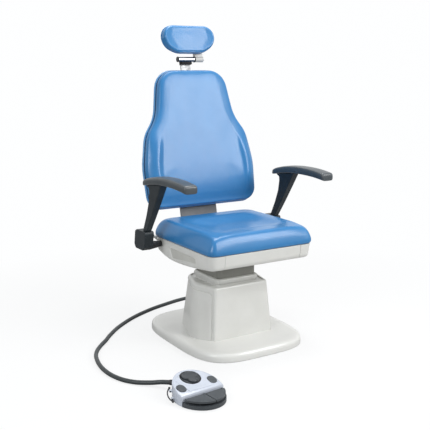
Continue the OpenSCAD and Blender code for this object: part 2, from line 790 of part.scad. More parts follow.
// Backrest: flat drawings are in its own face plane, X across, Y up along it, Z to the front
module on_back() {
    translate([0, back_y, back_z]) rotate([90 - back_lean, 0, 0]) children();
}
back_point_shares = [[0.975, 0], [1, 0.304], [0.91, 0.528], [0.712, 0.656], [back_top_w / back_w, 1]];
back_radii = mirrored_values([back_low_corner_r, back_side_r, back_shoulder_r, back_waist_r, back_top_r]);
function back_outline(inset) =
    let (plan = mirrored([for (p = back_point_shares) [p.x * back_w / 2, p.y * back_h]]), n = len(plan),
         radii = [for (i = [0:n - 1]) i % 6 == 3 ? back_radii[i] + inset : max(back_radii[i] - inset, shell_edge_r)])
    filled(shrunk(plan, inset), radii, 4, [0, 2, 0, 1, 3, 1, 0, 2, 0, 5]);
shell_floor = back_cushion_t + back_shell_t + back_crown;
module back_shell() {
    rim = back_cushion_t;
    edge = rim + back_shell_t;
    floor_h = back_crown - back_wall;
    run = back_crown_run;
    rows = [[run, edge + back_crown], [0.5 * run, edge + 0.88 * back_crown], [0.18 * run, edge + 0.54 * back_crown],
        [0.05 * run, edge + 0.23 * back_crown], [0, edge], [0, rim], [back_wall, rim], [back_wall, rim + board_t],
        [ledge_w + back_wall, rim + board_t], [ledge_w + 2 * back_wall, edge + 0.35 * floor_h],
        [0.5 * run + back_wall, edge + 0.86 * floor_h], [run, edge + floor_h]];
    color([0.36, 0.53, 0.77]) difference() {
        on_back() skin([for (row = rows) raise(back_outline(row[0]), -row[1])], fold = 5);
        on_back() translate([-bar_w / 2 - loose, back_h - 2 * ledge_w - 6 * back_wall, -bar_depth - bar_t - loose])
            cube([bar_w + 2 * loose, back_h / 4, bar_t + 2 * loose]);
    }
}
module back_board() {
    color([0.62, 0.5, 0.36]) on_back() translate([0, 0, -back_cushion_t - board_t]) linear_extrude(board_t)
        polygon(back_outline(back_wall + body_gap));
}

// How far the cushion's face stands in front of the face plane
function bolster(p) =
    bolster_h * smooth((abs(p.x) - 0.34 * back_w / 2) / (0.3 * back_w)) * (1 - smooth((p.y / back_h - 0.42) / 0.2))
        * smooth(p.y / (0.14 * back_h));
back_row_shares = [[0, -1, 0], [-back_piping / 2, -0.86, 0], [-back_piping / 2, -0.5, 0], [0, -0.16, 0.1],
    [0.006, 0.02, 0.3], [0.022, 0.14, 0.7], [0.05, 0.22, 1], [0.1, 0.24, 1], [0.17, 0.2, 1], [0.25, 0.14, 0.9],
    [0.36, 0.1, 0.6]];
module back_cushion() {
    color([0.36, 0.53, 0.77]) on_back() skin([for (row = back_row_shares)
        let (inset = row[0] < 0 ? row[0] : row[0] * back_w / 1.6)
        [for (p = back_outline(inset)) [p.x, p.y, row[1] * back_cushion_t + row[2] * bolster(p)]]]);
}

module back_bracket() {
    front = -shell_floor;
    rear = front - bracket_t;
    middle_z = front - bracket_t / 2;
    axis_local_z = -(mast_y + axis_y - back_y) * cos(back_lean) - (back_z - axis_z) * sin(back_lean);
    axis_local_y = (mast_y + axis_y - back_y) * sin(back_lean) - (back_z - axis_z) * cos(back_lean);
    arm_x_in = recline_motor_w / 2 + lug_t + 2 * loose;
    deep = 3 * bracket_t;
    color([0.3, 0.31, 0.34]) difference() {
        union() {
            on_back() translate([-bracket_half_w, axis_local_y + 4.4 * shaft_d, rear])
                cube([2 * bracket_half_w, bracket_rise, bracket_t]);
            for (side = [-1, 1]) scale([side, 1, 1]) on_back() translate([arm_x_in, 0, 0]) {
                rotate([0, 90, 0]) linear_extrude(bracket_arm_t) polygon([
                    [-axis_local_z + 0.2 * shaft_d, axis_local_y + 0.8 * shaft_d],
                    [-axis_local_z + 1.1 * shaft_d, axis_local_y], [-rear + deep, axis_local_y + 5 * shaft_d],
                    [-rear + deep, axis_local_y + 11 * shaft_d], [-middle_z, axis_local_y + 16 * shaft_d],
                    [-middle_z, axis_local_y + 4.6 * shaft_d], [-front + 0.2 * shaft_d, axis_local_y + 4 * shaft_d]]);
                translate([0, axis_local_y, axis_local_z]) rotate([0, 90, 0])
                    cylinder(r = 1.12 * shaft_d, h = bracket_arm_t);
            }
        }
        translate([0, mast_y + axis_y, axis_z]) along_x(-bracket_half_w)
            cylinder(d = shaft_d, h = 2 * bracket_half_w);
        back_bolt_places() translate([0, 0, -cut]) cylinder(d = bolt_d, h = bracket_t + 2 * cut);
    }
}
module back_bolt_places() {
    for (x = [-1, 1], s = [0.2, 0.44])
        on_back() translate([x * 0.6 * bracket_half_w, s * back_h, -shell_floor - bracket_t]) children();
}
module back_bolts() {
    color([0.7, 0.7, 0.72]) back_bolt_places() {
        cylinder(d = bolt_d, h = bracket_t);
        translate([0, 0, -bolt_head_h]) cylinder(d = bolt_head_d, h = bolt_head_h);
    }
}
module recline_shaft() {
    reach = recline_motor_w / 2 + lug_t + 2 * loose + bracket_arm_t + bracket_t / 2;
    color([0.66, 0.67, 0.69]) translate([0, mast_y + axis_y, axis_z]) along_x(-reach)
        cylinder(d = shaft_d, h = 2 * reach);
}

// Headrest
bar_depth = back_cushion_t + board_t + guide_wall;
pivot_y = back_h + bar_show + pivot_d / 2;
pivot_z = -bar_depth + pivot_d / 2;
module at_pivot() { on_back() translate([0, pivot_y, pivot_z]) children(); }
module at_knuckle() { on_back() translate([0, pivot_y + link_len, pivot_z]) children(); }
module headrest_guide() {
    low = back_h - 2 * ledge_w - 6 * back_wall - guide_h;
    color([0.16, 0.16, 0.17]) on_back() difference() {
        translate([-guide_w / 2, low, -bar_depth - bar_t - guide_wall])
            cube([guide_w, guide_h, bar_t + 2 * guide_wall]);
        translate([-bar_w / 2 - run_fit, low - cut, -bar_depth - bar_t - run_fit])
            cube([bar_w + 2 * run_fit, guide_h + 2 * cut, bar_t + 2 * run_fit]);
    }
}
module headrest_bar() {
    low = pivot_y - bar_hidden;
    color([0.85, 0.86, 0.88]) on_back() translate([-bar_w / 2, low, -bar_depth - bar_t])
        cube([bar_w, bar_hidden + bar_over, bar_t]);
}
module headrest_tube() {
    color([0.85, 0.86, 0.88]) at_pivot() along_x(-pivot_w / 2) {
        cylinder(d = pivot_d, h = pivot_w - body_gap);
        translate([0, 0, pivot_w - body_gap]) cylinder(d = pin_d, h = link_w + 2 * body_gap + link_t / 2);
    }
}
module headrest_clamp() {
    w = 1.08 * bar_w;
    t = link_t / 4;
    rear = -bar_depth - bar_t;
    bottom = pivot_y - 0.95 * pivot_d;
    color([0.08, 0.08, 0.09]) on_back() difference() {
        translate([-w / 2, bottom, rear - t]) cube([w, 0.95 * pivot_d, bar_t + pivot_d / 2 + 2 * t]);
        translate([-bar_w / 2, bottom - cut, rear]) cube([bar_w, 2 * pivot_d, bar_t]);
        translate([0, pivot_y, pivot_z]) along_x(-w) cylinder(d = pivot_d, h = 2 * w);
    }
}
module headrest_link() {
    r = hub_d / 2;
    color([0.8, 0.81, 0.8]) at_pivot() difference() {
        union() {
            along_x(pivot_w / 2) cylinder(d = hub_d, h = link_w);
            translate([0, link_len, 0]) along_x(pivot_w / 2) cylinder(d = 0.8 * hub_d, h = link_w);
            translate([pivot_w / 2, 0, -link_t]) cube([link_w, link_len, 1.5 * link_t]);
        }
        along_x(0) cylinder(d = pin_d + 2 * run_fit, h = 2 * pivot_w);
        translate([0, link_len, 0]) along_x(0) cylinder(d = pin_d + 2 * run_fit, h = 2 * pivot_w);
    }
}
module headrest_plate() {
    lug = link_t / 2;
    left = pivot_w / 2 - lug - body_gap;
    right = pivot_w / 2 + link_w + body_gap;
    color([0.16, 0.16, 0.17]) at_knuckle() {
        translate([-0.3 * head_w, -0.15 * head_h, link_back - head_plate_rear_t])
            cube([0.7 * head_w, 0.5 * head_h, head_plate_rear_t]);
        for (x = [left, right]) translate([x, 0, 0]) {
            translate([0, -knuckle_d / 2, 0]) cube([lug, knuckle_d, link_back - head_plate_rear_t]);
            rotate([0, 90, 0]) cylinder(d = knuckle_d, h = lug);
        }
        along_x(left) cylinder(d = pin_d, h = right + lug - left);
    }
}
head_point_shares = [[0.47, -0.5], [0.93, -0.27], [1, 0.5]];
head_radii = mirrored_values([0.8 * head_h, 0.5 * head_h, 0.43 * head_h]);
function head_outline(inset) =
    let (plan = mirrored([for (p = head_point_shares) [p.x * head_w / 2, p.y * head_h]]), n = len(plan))
    filled(shrunk(plan, inset), [for (r = head_radii) max(r - inset, shell_edge_r / 2)], corner_steps,
        [0, 1, 3, 1, 0, 2]);
head_row_shares = [[0.02, 0], [0, 0.1], [0, 0.55], [0.024, 0.8], [0.07, 0.96], [0.135, 1], [0.22, 0.98], [0.33, 0.94]];
module headrest_pad() {
    color([0.36, 0.53, 0.77]) at_knuckle() translate([0, head_lift, link_back]) skin([for (row = head_row_shares)
        [for (p = head_outline(row[0] * head_h)) [p.x, p.y, row[1] * head_t
            - head_rim_dip * smooth(row[1] * 2 - 1) * (1 - pow(2 * p.x / head_w, 2))]]]);
}

// Armrests: the right one is drawn and the left one mirrored. Side drawings are in the YZ plane.
module arm_side(side, inner, thick) {
    scale([side, 1, 1]) translate([inner, 0, 0]) rotate([90, 0, 90]) linear_extrude(thick) children();
}
pad_shares = [0, 0.03, 0.08, 0.16, 0.28, 0.42, 0.56, 0.7, 0.82, 0.91, 0.97, 1];
pad_width_shares = [0.58, 0.84, 0.95, 1, 1, 1, 0.98, 0.95, 0.91, 0.85, 0.7, 0.42];
pad_thick_shares = [0.5, 0.78, 0.92, 0.98, 1, 1, 1, 0.98, 0.94, 0.86, 0.68, 0.4];
pad_drop_shares = [0.46, 0.36, 0.26, 0.12, 0.02, 0, 0.08, 0.3, 0.6, 0.86, 1, 1.06];
pad_fall = 24;
function pad_y(i) = pad_front_y + pad_len * pad_shares[i];
function pad_under(i) = pad_top_z - pad_t - pad_fall * pad_drop_shares[i];
pad_under_table = [for (i = [0:11]) [pad_y(i), pad_under(i)]];
pad_section_shares = [[-0.3, 0], [0.3, 0], [0.44, 0.1], [0.5, 0.34], [0.5, 0.62], [0.43, 0.86], [0.28, 0.97], [0, 1],
    [-0.28, 0.97], [-0.43, 0.86], [-0.5, 0.62], [-0.5, 0.34], [-0.44, 0.1]];
function pad_ring(i) = let (w = pad_w * pad_width_shares[i], low = pad_under(i), high = low + pad_t * pad_thick_shares[i])
    [for (p = pad_section_shares) [arm_x + p.x * w, pad_y(i), mix(low, high, p.y)]];
module armrest_pad(side) {
    color([0.2, 0.22, 0.25]) scale([side, 1, 1]) skin([for (i = [11:-1:0]) pad_ring(i)]);
}
post_front_shares = [[0.365, 0], [0.1, 0.36], [-0.14, 0.68], [-0.38, 1]];
post_rear_shares = [[0.29, 1], [0.175, 0.93], [0.17, 0.84], [0.22, 0.62], [0.34, 0.36], [0.54, 0]];
function post_edge(shares) = [for (p = shares) let (y = p.x * post_reach)
    [y, mix(block_top_z, lookup(y, pad_under_table), p.y)]];
module armrest_post(side) {
    front = post_edge(post_front_shares);
    rear = post_edge(post_rear_shares);
    top = [for (i = [11:-1:0]) if (pad_y(i) > front[len(front) - 1].x && pad_y(i) < rear[0].x)
        [pad_y(i), pad_under(i)]];
    outline = concat([for (i = [len(rear) - 1:-1:0]) rear[i]], top, [for (i = [len(front) - 1:-1:0]) front[i]]);
    color([0.2, 0.22, 0.25]) intersection() {
        arm_side(side, arm_x - post_top_w / 2, post_top_w) polygon(outline);
        translate([side * arm_x, post_reach, 0]) rotate([90, 0, 0]) linear_extrude(2 * post_reach)
            polygon([for (p = [[-post_foot_w, -cut], [post_foot_w, -cut], [post_top_w, pad_top_z - block_top_z],
                [-post_top_w, pad_top_z - block_top_z]]) [p.x / 2, block_top_z + p.y]]);
    }
}
module armrest_block(side) {
    low = block_low_z;
    h = block_top_z - block_low_z;
    d = block_d;
    y0 = mast_y + arm_axis_y - 0.46 * d;
    points = [[y0, low + 0.16 * h], [y0 + 0.14 * d, low], [y0 + 0.86 * d, low], [y0 + d, low + 0.2 * h],
        [y0 + 0.9 * d, block_top_z - 0.1 * h], [y0 + 0.72 * d, block_top_z], [y0 - 0.12 * d, block_top_z],
        [y0 - 0.14 * d, block_top_z - 0.16 * h]];
    color([0.2, 0.22, 0.25]) difference() {
        arm_side(side, arm_x - block_w / 2, block_w) polygon(rounded(points, [for (p = points) 0.08 * d], 3));
        arm_pin_place(side) translate([0, 0, arm_x - block_w])
            cylinder(d = arm_pin_d + 2 * run_fit, h = 1.5 * block_w - pin_cover);
    }
}
module armrest_lug(side) {
    r = lug_bar_d / 2;
    reach = arm_x - block_w / 2 - seat_w / 2 - ledge_w - r;
    high = block_top_z - lug_bar_d;
    low = arm_axis_z + arm_collar_d / 2 + lug_bar_d;
    slope = atan((high - low) / reach);
    color([0.8, 0.8, 0.78]) scale([side, 1, 1])
        translate([arm_x - block_w / 2, mast_y + arm_axis_y, high]) rotate([0, -90 - slope, 0]) difference() {
            union() {
                translate([0, 0, -r]) cylinder(r = r, h = reach / cos(slope) + r);
                translate([0, 0, reach / cos(slope)]) sphere(r = r);
            }
            rotate([0, slope + 90, 0]) translate([0, -lug_bar_d, -lug_bar_d])
                cube([2 * lug_bar_d, 2 * lug_bar_d, 2 * lug_bar_d]);
        }
}

// Foot control, in its own frame on the floor
module on_foot() { translate([foot_x, foot_y, 0]) rotate(foot_turn) children(); }
module on_slope(v) {
    translate([0, foot_split_v, foot_front_z]) rotate([foot_tilt, 0, 0])
        translate([0, (v - foot_split_v) / cos(foot_tilt), 0]) children();
}
foot_facets = 48;
foot_last = 360 * (1 - 1 / foot_facets);
foot_base_top = foot_pad_h + foot_base_t;
pedal_floor = foot_base_top - pedal_travel_h;
foot_skirt_z = foot_pad_h + loose;
function half_chord(v) = foot_w / 2 * sqrt(1 - pow(2 * v / foot_d, 2));
function foot_oval(inset, from, to, count) = [for (i = [0:count - 1]) let (a = from + (to - from) * i / (count - 1))
    [(foot_w / 2 - inset) * cos(a), (foot_d / 2 - inset) * sin(a)]];
function housing_top(v) = foot_front_z + (v - foot_split_v) * tan(foot_tilt);
function housing_ring(inset, drop) =
    let (a = asin((foot_split_v + inset) / (foot_d / 2 - inset)))
    [for (p = foot_oval(inset, a, 180 - a, 40)) [p.x, p.y, drop < 0 ? foot_skirt_z : housing_top(p.y) - drop]];
foot_spine_shares = [[0.25, -0.06], [0.27, 0.02], [0.345, 0.3], [0.24, 0.4]];
module stadium(w, l) {
    square([w, l - w], center = true);
    for (y = [-1, 1]) translate([0, y * (l - w) / 2]) circle(d = w);
}
module foot_base() {
    lug_w = 2 * pedal_gap;
    pin_z = pedal_z + pedal_barrel_d / 4;
    color([0.15, 0.155, 0.16]) on_foot() difference() {
        union() {
            translate([0, 0, foot_pad_h]) linear_extrude(foot_base_t) intersection() {
                polygon(foot_oval(foot_wall + seam, 0, foot_last, foot_facets));
                translate([-foot_w, foot_split_v - seam]) square([2 * foot_w, foot_d]);
            }
            translate([0, 0, foot_pad_h]) linear_extrude(pedal_floor - foot_pad_h) intersection() {
                polygon(foot_oval(0, 0, foot_last, foot_facets));
                translate([-foot_w, foot_split_v - seam - foot_d]) square([2 * foot_w, foot_d]);
            }
            for (x = [-pedal_lug_x, 0, pedal_lug_x]) translate([x - lug_w / 2, pedal_axis_v - pedal_barrel_d / 2, pedal_floor])
                cube([lug_w, pedal_barrel_d, pin_z + pedal_barrel_d / 2 - pedal_floor]);
            for (x = [-1, 1]) translate([x * foot_w / 4 - pedal_barrel_d / 2, 2.2 * pedal_axis_v, pedal_floor])
                cube([pedal_barrel_d, 2 * pedal_barrel_d, pedal_gap]);
        }
        translate([0, pedal_axis_v, pin_z]) along_x(-foot_w / 2) cylinder(d = pedal_pin_d, h = foot_w);
    }
}
module foot_housing() {
    rows = [[2 * foot_wall, foot_wall], [foot_wall, 2 * foot_wall], [foot_wall, -1], [0, -1], [0, foot_edge_r],
        [0.3 * foot_edge_r, 0.3 * foot_edge_r], [foot_edge_r, 0]];
    color([0.83, 0.84, 0.86]) on_foot() difference() {
        union() {
            difference() {
                union() {
                    skin([for (row = rows) housing_ring(row[0], row[1])]);
                    on_slope(0) translate([0, 0, -foot_wall]) linear_extrude(foot_wall + foot_spine_h) polygon(
                        mirrored([for (p = foot_spine_shares) [p.x * foot_w, p.y * foot_d]]));
                }
                translate([foot_wall - half_chord(foot_split_v), foot_split_v - cut, 0])
                    cube([2 * (half_chord(foot_split_v) - foot_wall), foot_wall + 2 * cut, foot_base_top]);
                on_slope(rocker_v) translate([0, 0, -foot_edge_r - foot_wall])
                    cylinder(d = rocker_d + 2 * rocker_wall + 4 * run_fit, h = foot_d / 4);
                for (x = [-1, 1]) on_slope(button_v) translate([x * button_u, 0, -foot_edge_r])
                    linear_extrude(foot_d / 4) stadium(button_w + 2 * seam, button_l + 2 * seam);
            }
            bail_place() bail_ear_places() {
                rotate([-90, 0, 0]) cylinder(d = ear_w, h = ear_w);
                translate([0, 0, -ear_w / 2]) cube([ear_w / 2 + foot_wall + pedal_gap - seam, ear_w, ear_w]);
            }
        }
        bail_place() bail_ear_places() translate([0, -cut, 0]) rotate([-90, 0, 0])
            cylinder(d = wire_d + 2 * run_fit, h = ear_w + 2 * cut);
    }
}
module rocker_cup() {
    deep = rocker_well + rocker_wall;
    color([0.13, 0.135, 0.14]) on_foot() on_slope(rocker_v) {
        difference() {
            translate([0, 0, -deep]) cylinder(d = rocker_d + 2 * rocker_wall, h = deep);
            translate([0, 0, -rocker_well]) cylinder(d = rocker_d, h = rocker_well + cut);
        }
        for (x = [-1, 1]) translate([x * gimbal_reach, 0, 0]) difference() {
            translate([-rocker_wall / 2, -gimbal_d, -rocker_well])
                cube([rocker_wall, 2 * gimbal_d, rocker_well - rocker_axis + 0.8 * gimbal_d]);
            translate([0, 0, -rocker_axis]) along_x(-rocker_wall) cylinder(d = gimbal_d + 2 * run_fit, h = 2 * rocker_wall);
        }
    }
}
module rocker_gimbal() {
    reach = gimbal_reach + rocker_wall / 2;
    color([0.6, 0.61, 0.63]) on_foot() on_slope(rocker_v) translate([0, 0, -rocker_axis]) {
        along_x(-reach) cylinder(d = gimbal_d, h = 2 * reach);
        rotate(90) along_x(-reach) cylinder(d = gimbal_d, h = 2 * reach);
    }
}
module rocker_cap() {
    r = rocker_d / 2 - 2 * loose;
    under = -rocker_axis + gimbal_d + 2 * loose;
    lobe = 0.54 * r;
    top = rocker_rise;
    color([0.36, 0.37, 0.39]) on_foot() on_slope(rocker_v) difference() {
        union() {
            translate([0, 0, under]) cylinder(r = r, h = loose - under);
            for (a = [30, 150, 270]) rotate(a) translate([r - lobe - 2 * loose, 0, 0]) {
                cylinder(r = lobe, h = top - 2 * loose);
                translate([0, 0, top - 2 * loose]) cylinder(r1 = lobe, r2 = lobe - 2 * loose, h = 2 * loose);
            }
            for (y = [-1, 1]) translate([-gimbal_d, y * gimbal_reach - rocker_wall / 2, -rocker_axis])
                cube([2 * gimbal_d, rocker_wall, gimbal_d + 3 * loose]);
            for (y = [-1, 1]) translate([0, y * gimbal_reach + rocker_wall / 2, -rocker_axis]) rotate([90, 0, 0])
                cylinder(r = gimbal_d, h = rocker_wall);
        }
        translate([0, 0, -rocker_axis]) rotate(90) along_x(-r) cylinder(d = gimbal_d + 2 * run_fit, h = 2 * r);
    }
}
module foot_button(side) {
    color([0.36, 0.37, 0.39]) on_foot() on_slope(button_v) translate([side * button_u, 0, 0]) {
        translate([0, 0, -foot_wall]) linear_extrude(foot_wall + button_rise) stadium(button_w, button_l);
        translate([0, 0, -foot_wall - button_flange - loose]) linear_extrude(button_flange + loose)
            stadium(button_w, button_l);
        translate([0, 0, -foot_wall - button_flange - loose]) linear_extrude(button_flange)
            stadium(button_w + button_flange, button_l + button_flange);
    }
}
module pedal_pin() {
    color([0.7, 0.71, 0.73]) on_foot() translate([0, pedal_axis_v, pedal_z + pedal_barrel_d / 4])
        along_x(-pedal_lug_x - pedal_gap) cylinder(d = pedal_pin_d, h = 2 * (pedal_lug_x + pedal_gap));
}
module pedal(side) {
    inner = pedal_gap / 2;
    hub_in = 2 * pedal_gap;
    hub_out = 0.38 * foot_w;
    front_v = pedal_axis_v - pedal_barrel_d / 2 - pedal_gap / 2;
    color([0.4, 0.42, 0.44]) on_foot() difference() {
        union() {
            intersection() {
                translate([0, 0, pedal_z]) linear_extrude(pedal_t)
                    polygon(foot_oval(pedal_gap, 0, foot_last, foot_facets));
                translate([side > 0 ? inner : -foot_w, front_v - foot_d, 0]) cube([foot_w - inner, foot_d, foot_d]);
            }
            translate([side > 0 ? hub_in : -hub_out, pedal_axis_v, pedal_z + pedal_barrel_d / 4]) rotate([0, 90, 0])
                cylinder(d = pedal_barrel_d, h = hub_out - hub_in);
            translate([side > 0 ? hub_in : -hub_out, front_v - pedal_gap, pedal_z + pedal_gap])
                cube([hub_out - hub_in, pedal_axis_v - front_v + pedal_gap, pedal_pin_d / 2]);
        }
        translate([0, pedal_axis_v, pedal_z + pedal_barrel_d / 4]) along_x(-foot_w)
            cylinder(d = pedal_pin_d + 2 * run_fit, h = 2 * foot_w);
    }
}
module foot_pads() {
    color([0.1, 0.1, 0.1]) on_foot() for (x = [-1, 1], y = [-1, 1])
        translate([x * 0.3 * foot_w, y * 0.3 * foot_d, 0]) cylinder(d = foot_pad_d, h = foot_pad_h);
}

// The wire bail's hinge runs along its own Y axis beside the housing, up towards the rear
module bail_place() {
    translate([-0.524 * foot_w, 0.0725 * foot_d, bail_z]) rotate([bail_tilt, 0, -bail_turn]) children();
}
module bail_ear_places() {
    for (y = [bail_stub - ear_w, bail_len - bail_stub]) translate([-ear_w / 2, y, 0]) children();
}
module foot_bail() {
    hinge_x = -ear_w / 2;
    bow_r = (pow(bail_len / 2, 2) + pow(bail_reach, 2)) / (2 * bail_reach);
    half = asin(bail_len / 2 / bow_r);
    color([0.2, 0.2, 0.21]) on_foot() bail_place() {
        translate([hinge_x + bow_r - bail_reach, bail_len / 2, 0]) rotate(180 - half)
            rotate_extrude(angle = 2 * half) translate([bow_r, 0]) circle(d = wire_d, $fn = 16);
        for (y = [0, bail_len - bail_stub]) translate([hinge_x, y, 0]) rotate([-90, 0, 0])
            cylinder(d = wire_d, h = bail_stub);
        translate([hinge_x, 0, 0]) sphere(d = bail_knob_d, $fn = 24);
        translate([hinge_x, bail_len, 0]) sphere(d = bail_knob_d, $fn = 24);
    }
}

// Cable
function catmull(a, b, c, d, t) =
    0.5 * (2 * b + (c - a) * t + (2 * a - 5 * b + 4 * c - d) * t * t + (3 * b - a - 3 * c + d) * t * t * t);
function spline(points) = let (n = len(points)) concat([for (i = [0:n - 2], k = [0:cable_steps - 1])
    catmull(points[max(i - 1, 0)], points[i], points[i + 1], points[min(i + 2, n - 1)], k / cable_steps)],
    [points[n - 1]]);
cable_line = spline(cable_route);
module foot_cable() {
    n = len(cable_line);
    rings = [for (i = [0:n - 1]) let (ahead = unit(cable_line[min(i + 1, n - 1)] - cable_line[max(i - 1, 0)]),
            side = unit(cross(ahead, [0, 0, 1])), up = cross(side, ahead))
        [for (k = [0:cable_sides - 1]) let (a = 360 * k / cable_sides)
            cable_line[i] + (side * cos(a) + up * sin(a)) * cable_d / 2]];
    color([0.33, 0.34, 0.34]) skin(rings, flip = true);
}
module cable_gland() {
    start = cable_route[0];
    inner = mast_y + rear_foot_y - 4 * column_wall;
    long = start.y - inner;
    color([0.14, 0.14, 0.15]) translate([start.x, inner, start.z]) rotate([-90, 0, 0]) {
        cylinder(d = cable_d + 2 * loose, h = long);
        translate([0, 0, long - gland_nut]) cylinder(d = 1.6 * cable_d, h = 0.6 * gland_nut, $fn = 6);
        cylinder(d = 1.6 * cable_d, h = loose * 4, $fn = 6);
    }
}
module foot_strain_relief() {
    n = len(cable_line);
    way = unit(cable_line[n - 1] - cable_line[n - 2]);
    color([0.14, 0.14, 0.15]) difference() {
        translate(cable_line[n - 1]) rotate([0, acos(way.z), atan2(way.y, way.x)])
            cylinder(d1 = 1.15 * cable_d, d2 = 1.5 * cable_d, h = relief_len);
        on_foot() linear_extrude(foot_d) polygon([for (p = housing_ring(0, 0)) [p.x, p.y]]);
    }
}

base_plate();
base_cover();
outer_mast();
top_glides();
lift_actuator();
control_box();
column_front_cover();
column_left_cover();
column_right_cover();
column_rear_cover();
column_collar();
cable_gland();
foot_cable();
inner_mast();
bottom_glides();
lift_ram();
neck_cover();
swivel_lower_race();
swivel_upper_race();
seat_frame();
seat_shell();
seat_front_panel();
seat_board();
seat_cushion();
recline_motor();
armrest_pins();
recline_shaft();
back_bracket();
back_bolts();
back_shell();
back_board();
back_cushion();
headrest_guide();
headrest_bar();
headrest_tube();
headrest_clamp();
headrest_link();
headrest_plate();
headrest_pad();
armrest_block(-1);  // armrest_block_left
armrest_lug(-1);  // armrest_lug_left
armrest_post(-1);  // armrest_post_left
armrest_pad(-1);  // armrest_pad_left
armrest_block(1);  // armrest_block_right
armrest_lug(1);  // armrest_lug_right
armrest_post(1);  // armrest_post_right
armrest_pad(1);  // armrest_pad_right
foot_base();
foot_housing();
foot_pads();
foot_strain_relief();
rocker_cup();
pedal_pin();
pedal(-1);  // pedal_left
pedal(1);  // pedal_right
foot_button(-1);  // button_left
foot_button(1);  // button_right
rocker_gimbal();
rocker_cap();
foot_bail();
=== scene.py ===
import json
from math import acos, atan, cos, pi, radians, sin, tan

import bmesh
import bpy
from mathutils import Matrix, Vector
from mathutils.bvhtree import BVHTree


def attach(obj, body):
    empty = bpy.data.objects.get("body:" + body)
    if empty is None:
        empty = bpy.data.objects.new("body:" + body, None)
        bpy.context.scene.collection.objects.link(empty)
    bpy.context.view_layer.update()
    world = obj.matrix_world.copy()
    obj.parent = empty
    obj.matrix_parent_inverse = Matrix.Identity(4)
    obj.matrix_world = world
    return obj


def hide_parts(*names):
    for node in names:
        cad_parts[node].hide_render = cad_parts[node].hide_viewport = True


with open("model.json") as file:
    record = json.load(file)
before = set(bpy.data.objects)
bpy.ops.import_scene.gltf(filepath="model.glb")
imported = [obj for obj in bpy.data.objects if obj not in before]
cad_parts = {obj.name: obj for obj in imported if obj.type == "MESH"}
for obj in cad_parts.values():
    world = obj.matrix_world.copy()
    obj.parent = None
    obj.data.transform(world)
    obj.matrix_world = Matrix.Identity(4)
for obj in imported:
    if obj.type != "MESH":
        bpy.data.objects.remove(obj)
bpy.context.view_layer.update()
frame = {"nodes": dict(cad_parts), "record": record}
scene = bpy.context.scene
scene.view_settings.view_transform = "Standard"

# Camera: stands in front of the chair, on the sitter's right, and looks a little down
LOOK_DOWN, LOOK_ASIDE = 11.081, 31.667
camera = bpy.data.objects.new("camera", bpy.data.cameras.new("camera"))
scene.collection.objects.link(camera)
camera.location = (-1.789, -2.820, 1.215)
camera.rotation_euler = (radians(90 - LOOK_DOWN), 0, radians(-LOOK_ASIDE))
camera.data.sensor_width = 36
camera.data.lens = 63.32
scene.camera = camera


# Materials: sizes of their patterns and depths of their relief are in metres
def start_material(name, colour, roughness, metallic=0.0):
    material = bpy.data.materials.new(name)
    material.use_nodes = True
    tree = material.node_tree
    shader = tree.nodes["Principled BSDF"]
    shader.inputs["Base Color"].default_value = (*colour, 1)
    shader.inputs["Roughness"].default_value = roughness
    shader.inputs["Metallic"].default_value = metallic
    return material, tree, shader


def object_point(tree, stretch=(1, 1, 1)):
    place = tree.nodes.new("ShaderNodeTexCoord")
    mapping = tree.nodes.new("ShaderNodeMapping")
    mapping.inputs["Scale"].default_value = stretch
    tree.links.new(place.outputs["Object"], mapping.inputs["Vector"])
    return mapping.outputs["Vector"]


def noise(tree, point, size, detail=3, rough=0.55):
    node = tree.nodes.new("ShaderNodeTexNoise")
    node.inputs["Scale"].default_value = 1 / size
    node.inputs["Detail"].default_value = detail
    node.inputs["Roughness"].default_value = rough
    tree.links.new(point, node.inputs["Vector"])
    return node.outputs["Fac"]


def cells(tree, point, size):
    node = tree.nodes.new("ShaderNodeTexVoronoi")
    node.inputs["Scale"].default_value = 1 / size
    tree.links.new(point, node.inputs["Vector"])
    return node.outputs["Distance"]


def spread(tree, value, low, high, to_low, to_high):
    node = tree.nodes.new("ShaderNodeMapRange")
    for name, number in (("From Min", low), ("From Max", high), ("To Min", to_low), ("To Max", to_high)):
        node.inputs[name].default_value = number
    tree.links.new(value, node.inputs["Value"])
    return node.outputs["Result"]


def tint(tree, shader, value, dark, light, low=0.35, high=0.65):
    ramp = tree.nodes.new("ShaderNodeValToRGB")
    ramp.color_ramp.elements[0].position = low
    ramp.color_ramp.elements[1].position = high
    ramp.color_ramp.elements[0].color = (*dark, 1)
    ramp.color_ramp.elements[1].color = (*light, 1)
    tree.links.new(value, ramp.inputs["Fac"])
    tree.links.new(ramp.outputs["Color"], shader.inputs["Base Color"])


def relief(tree, shader, height, depth, strength=1.0, under=None):
    bump = tree.nodes.new("ShaderNodeBump")
    bump.inputs["Distance"].default_value = depth
    bump.inputs["Strength"].default_value = strength
    tree.links.new(height, bump.inputs["Height"])
    if under is not None:
        tree.links.new(under, bump.inputs["Normal"])
    tree.links.new(bump.outputs["Normal"], shader.inputs["Normal"])
    return bump.outputs["Normal"]


def uneven_gloss(tree, shader, point, size, low, high):
    value = spread(tree, noise(tree, point, size, 4), 0.3, 0.7, low, high)
    tree.links.new(value, shader.inputs["Roughness"])


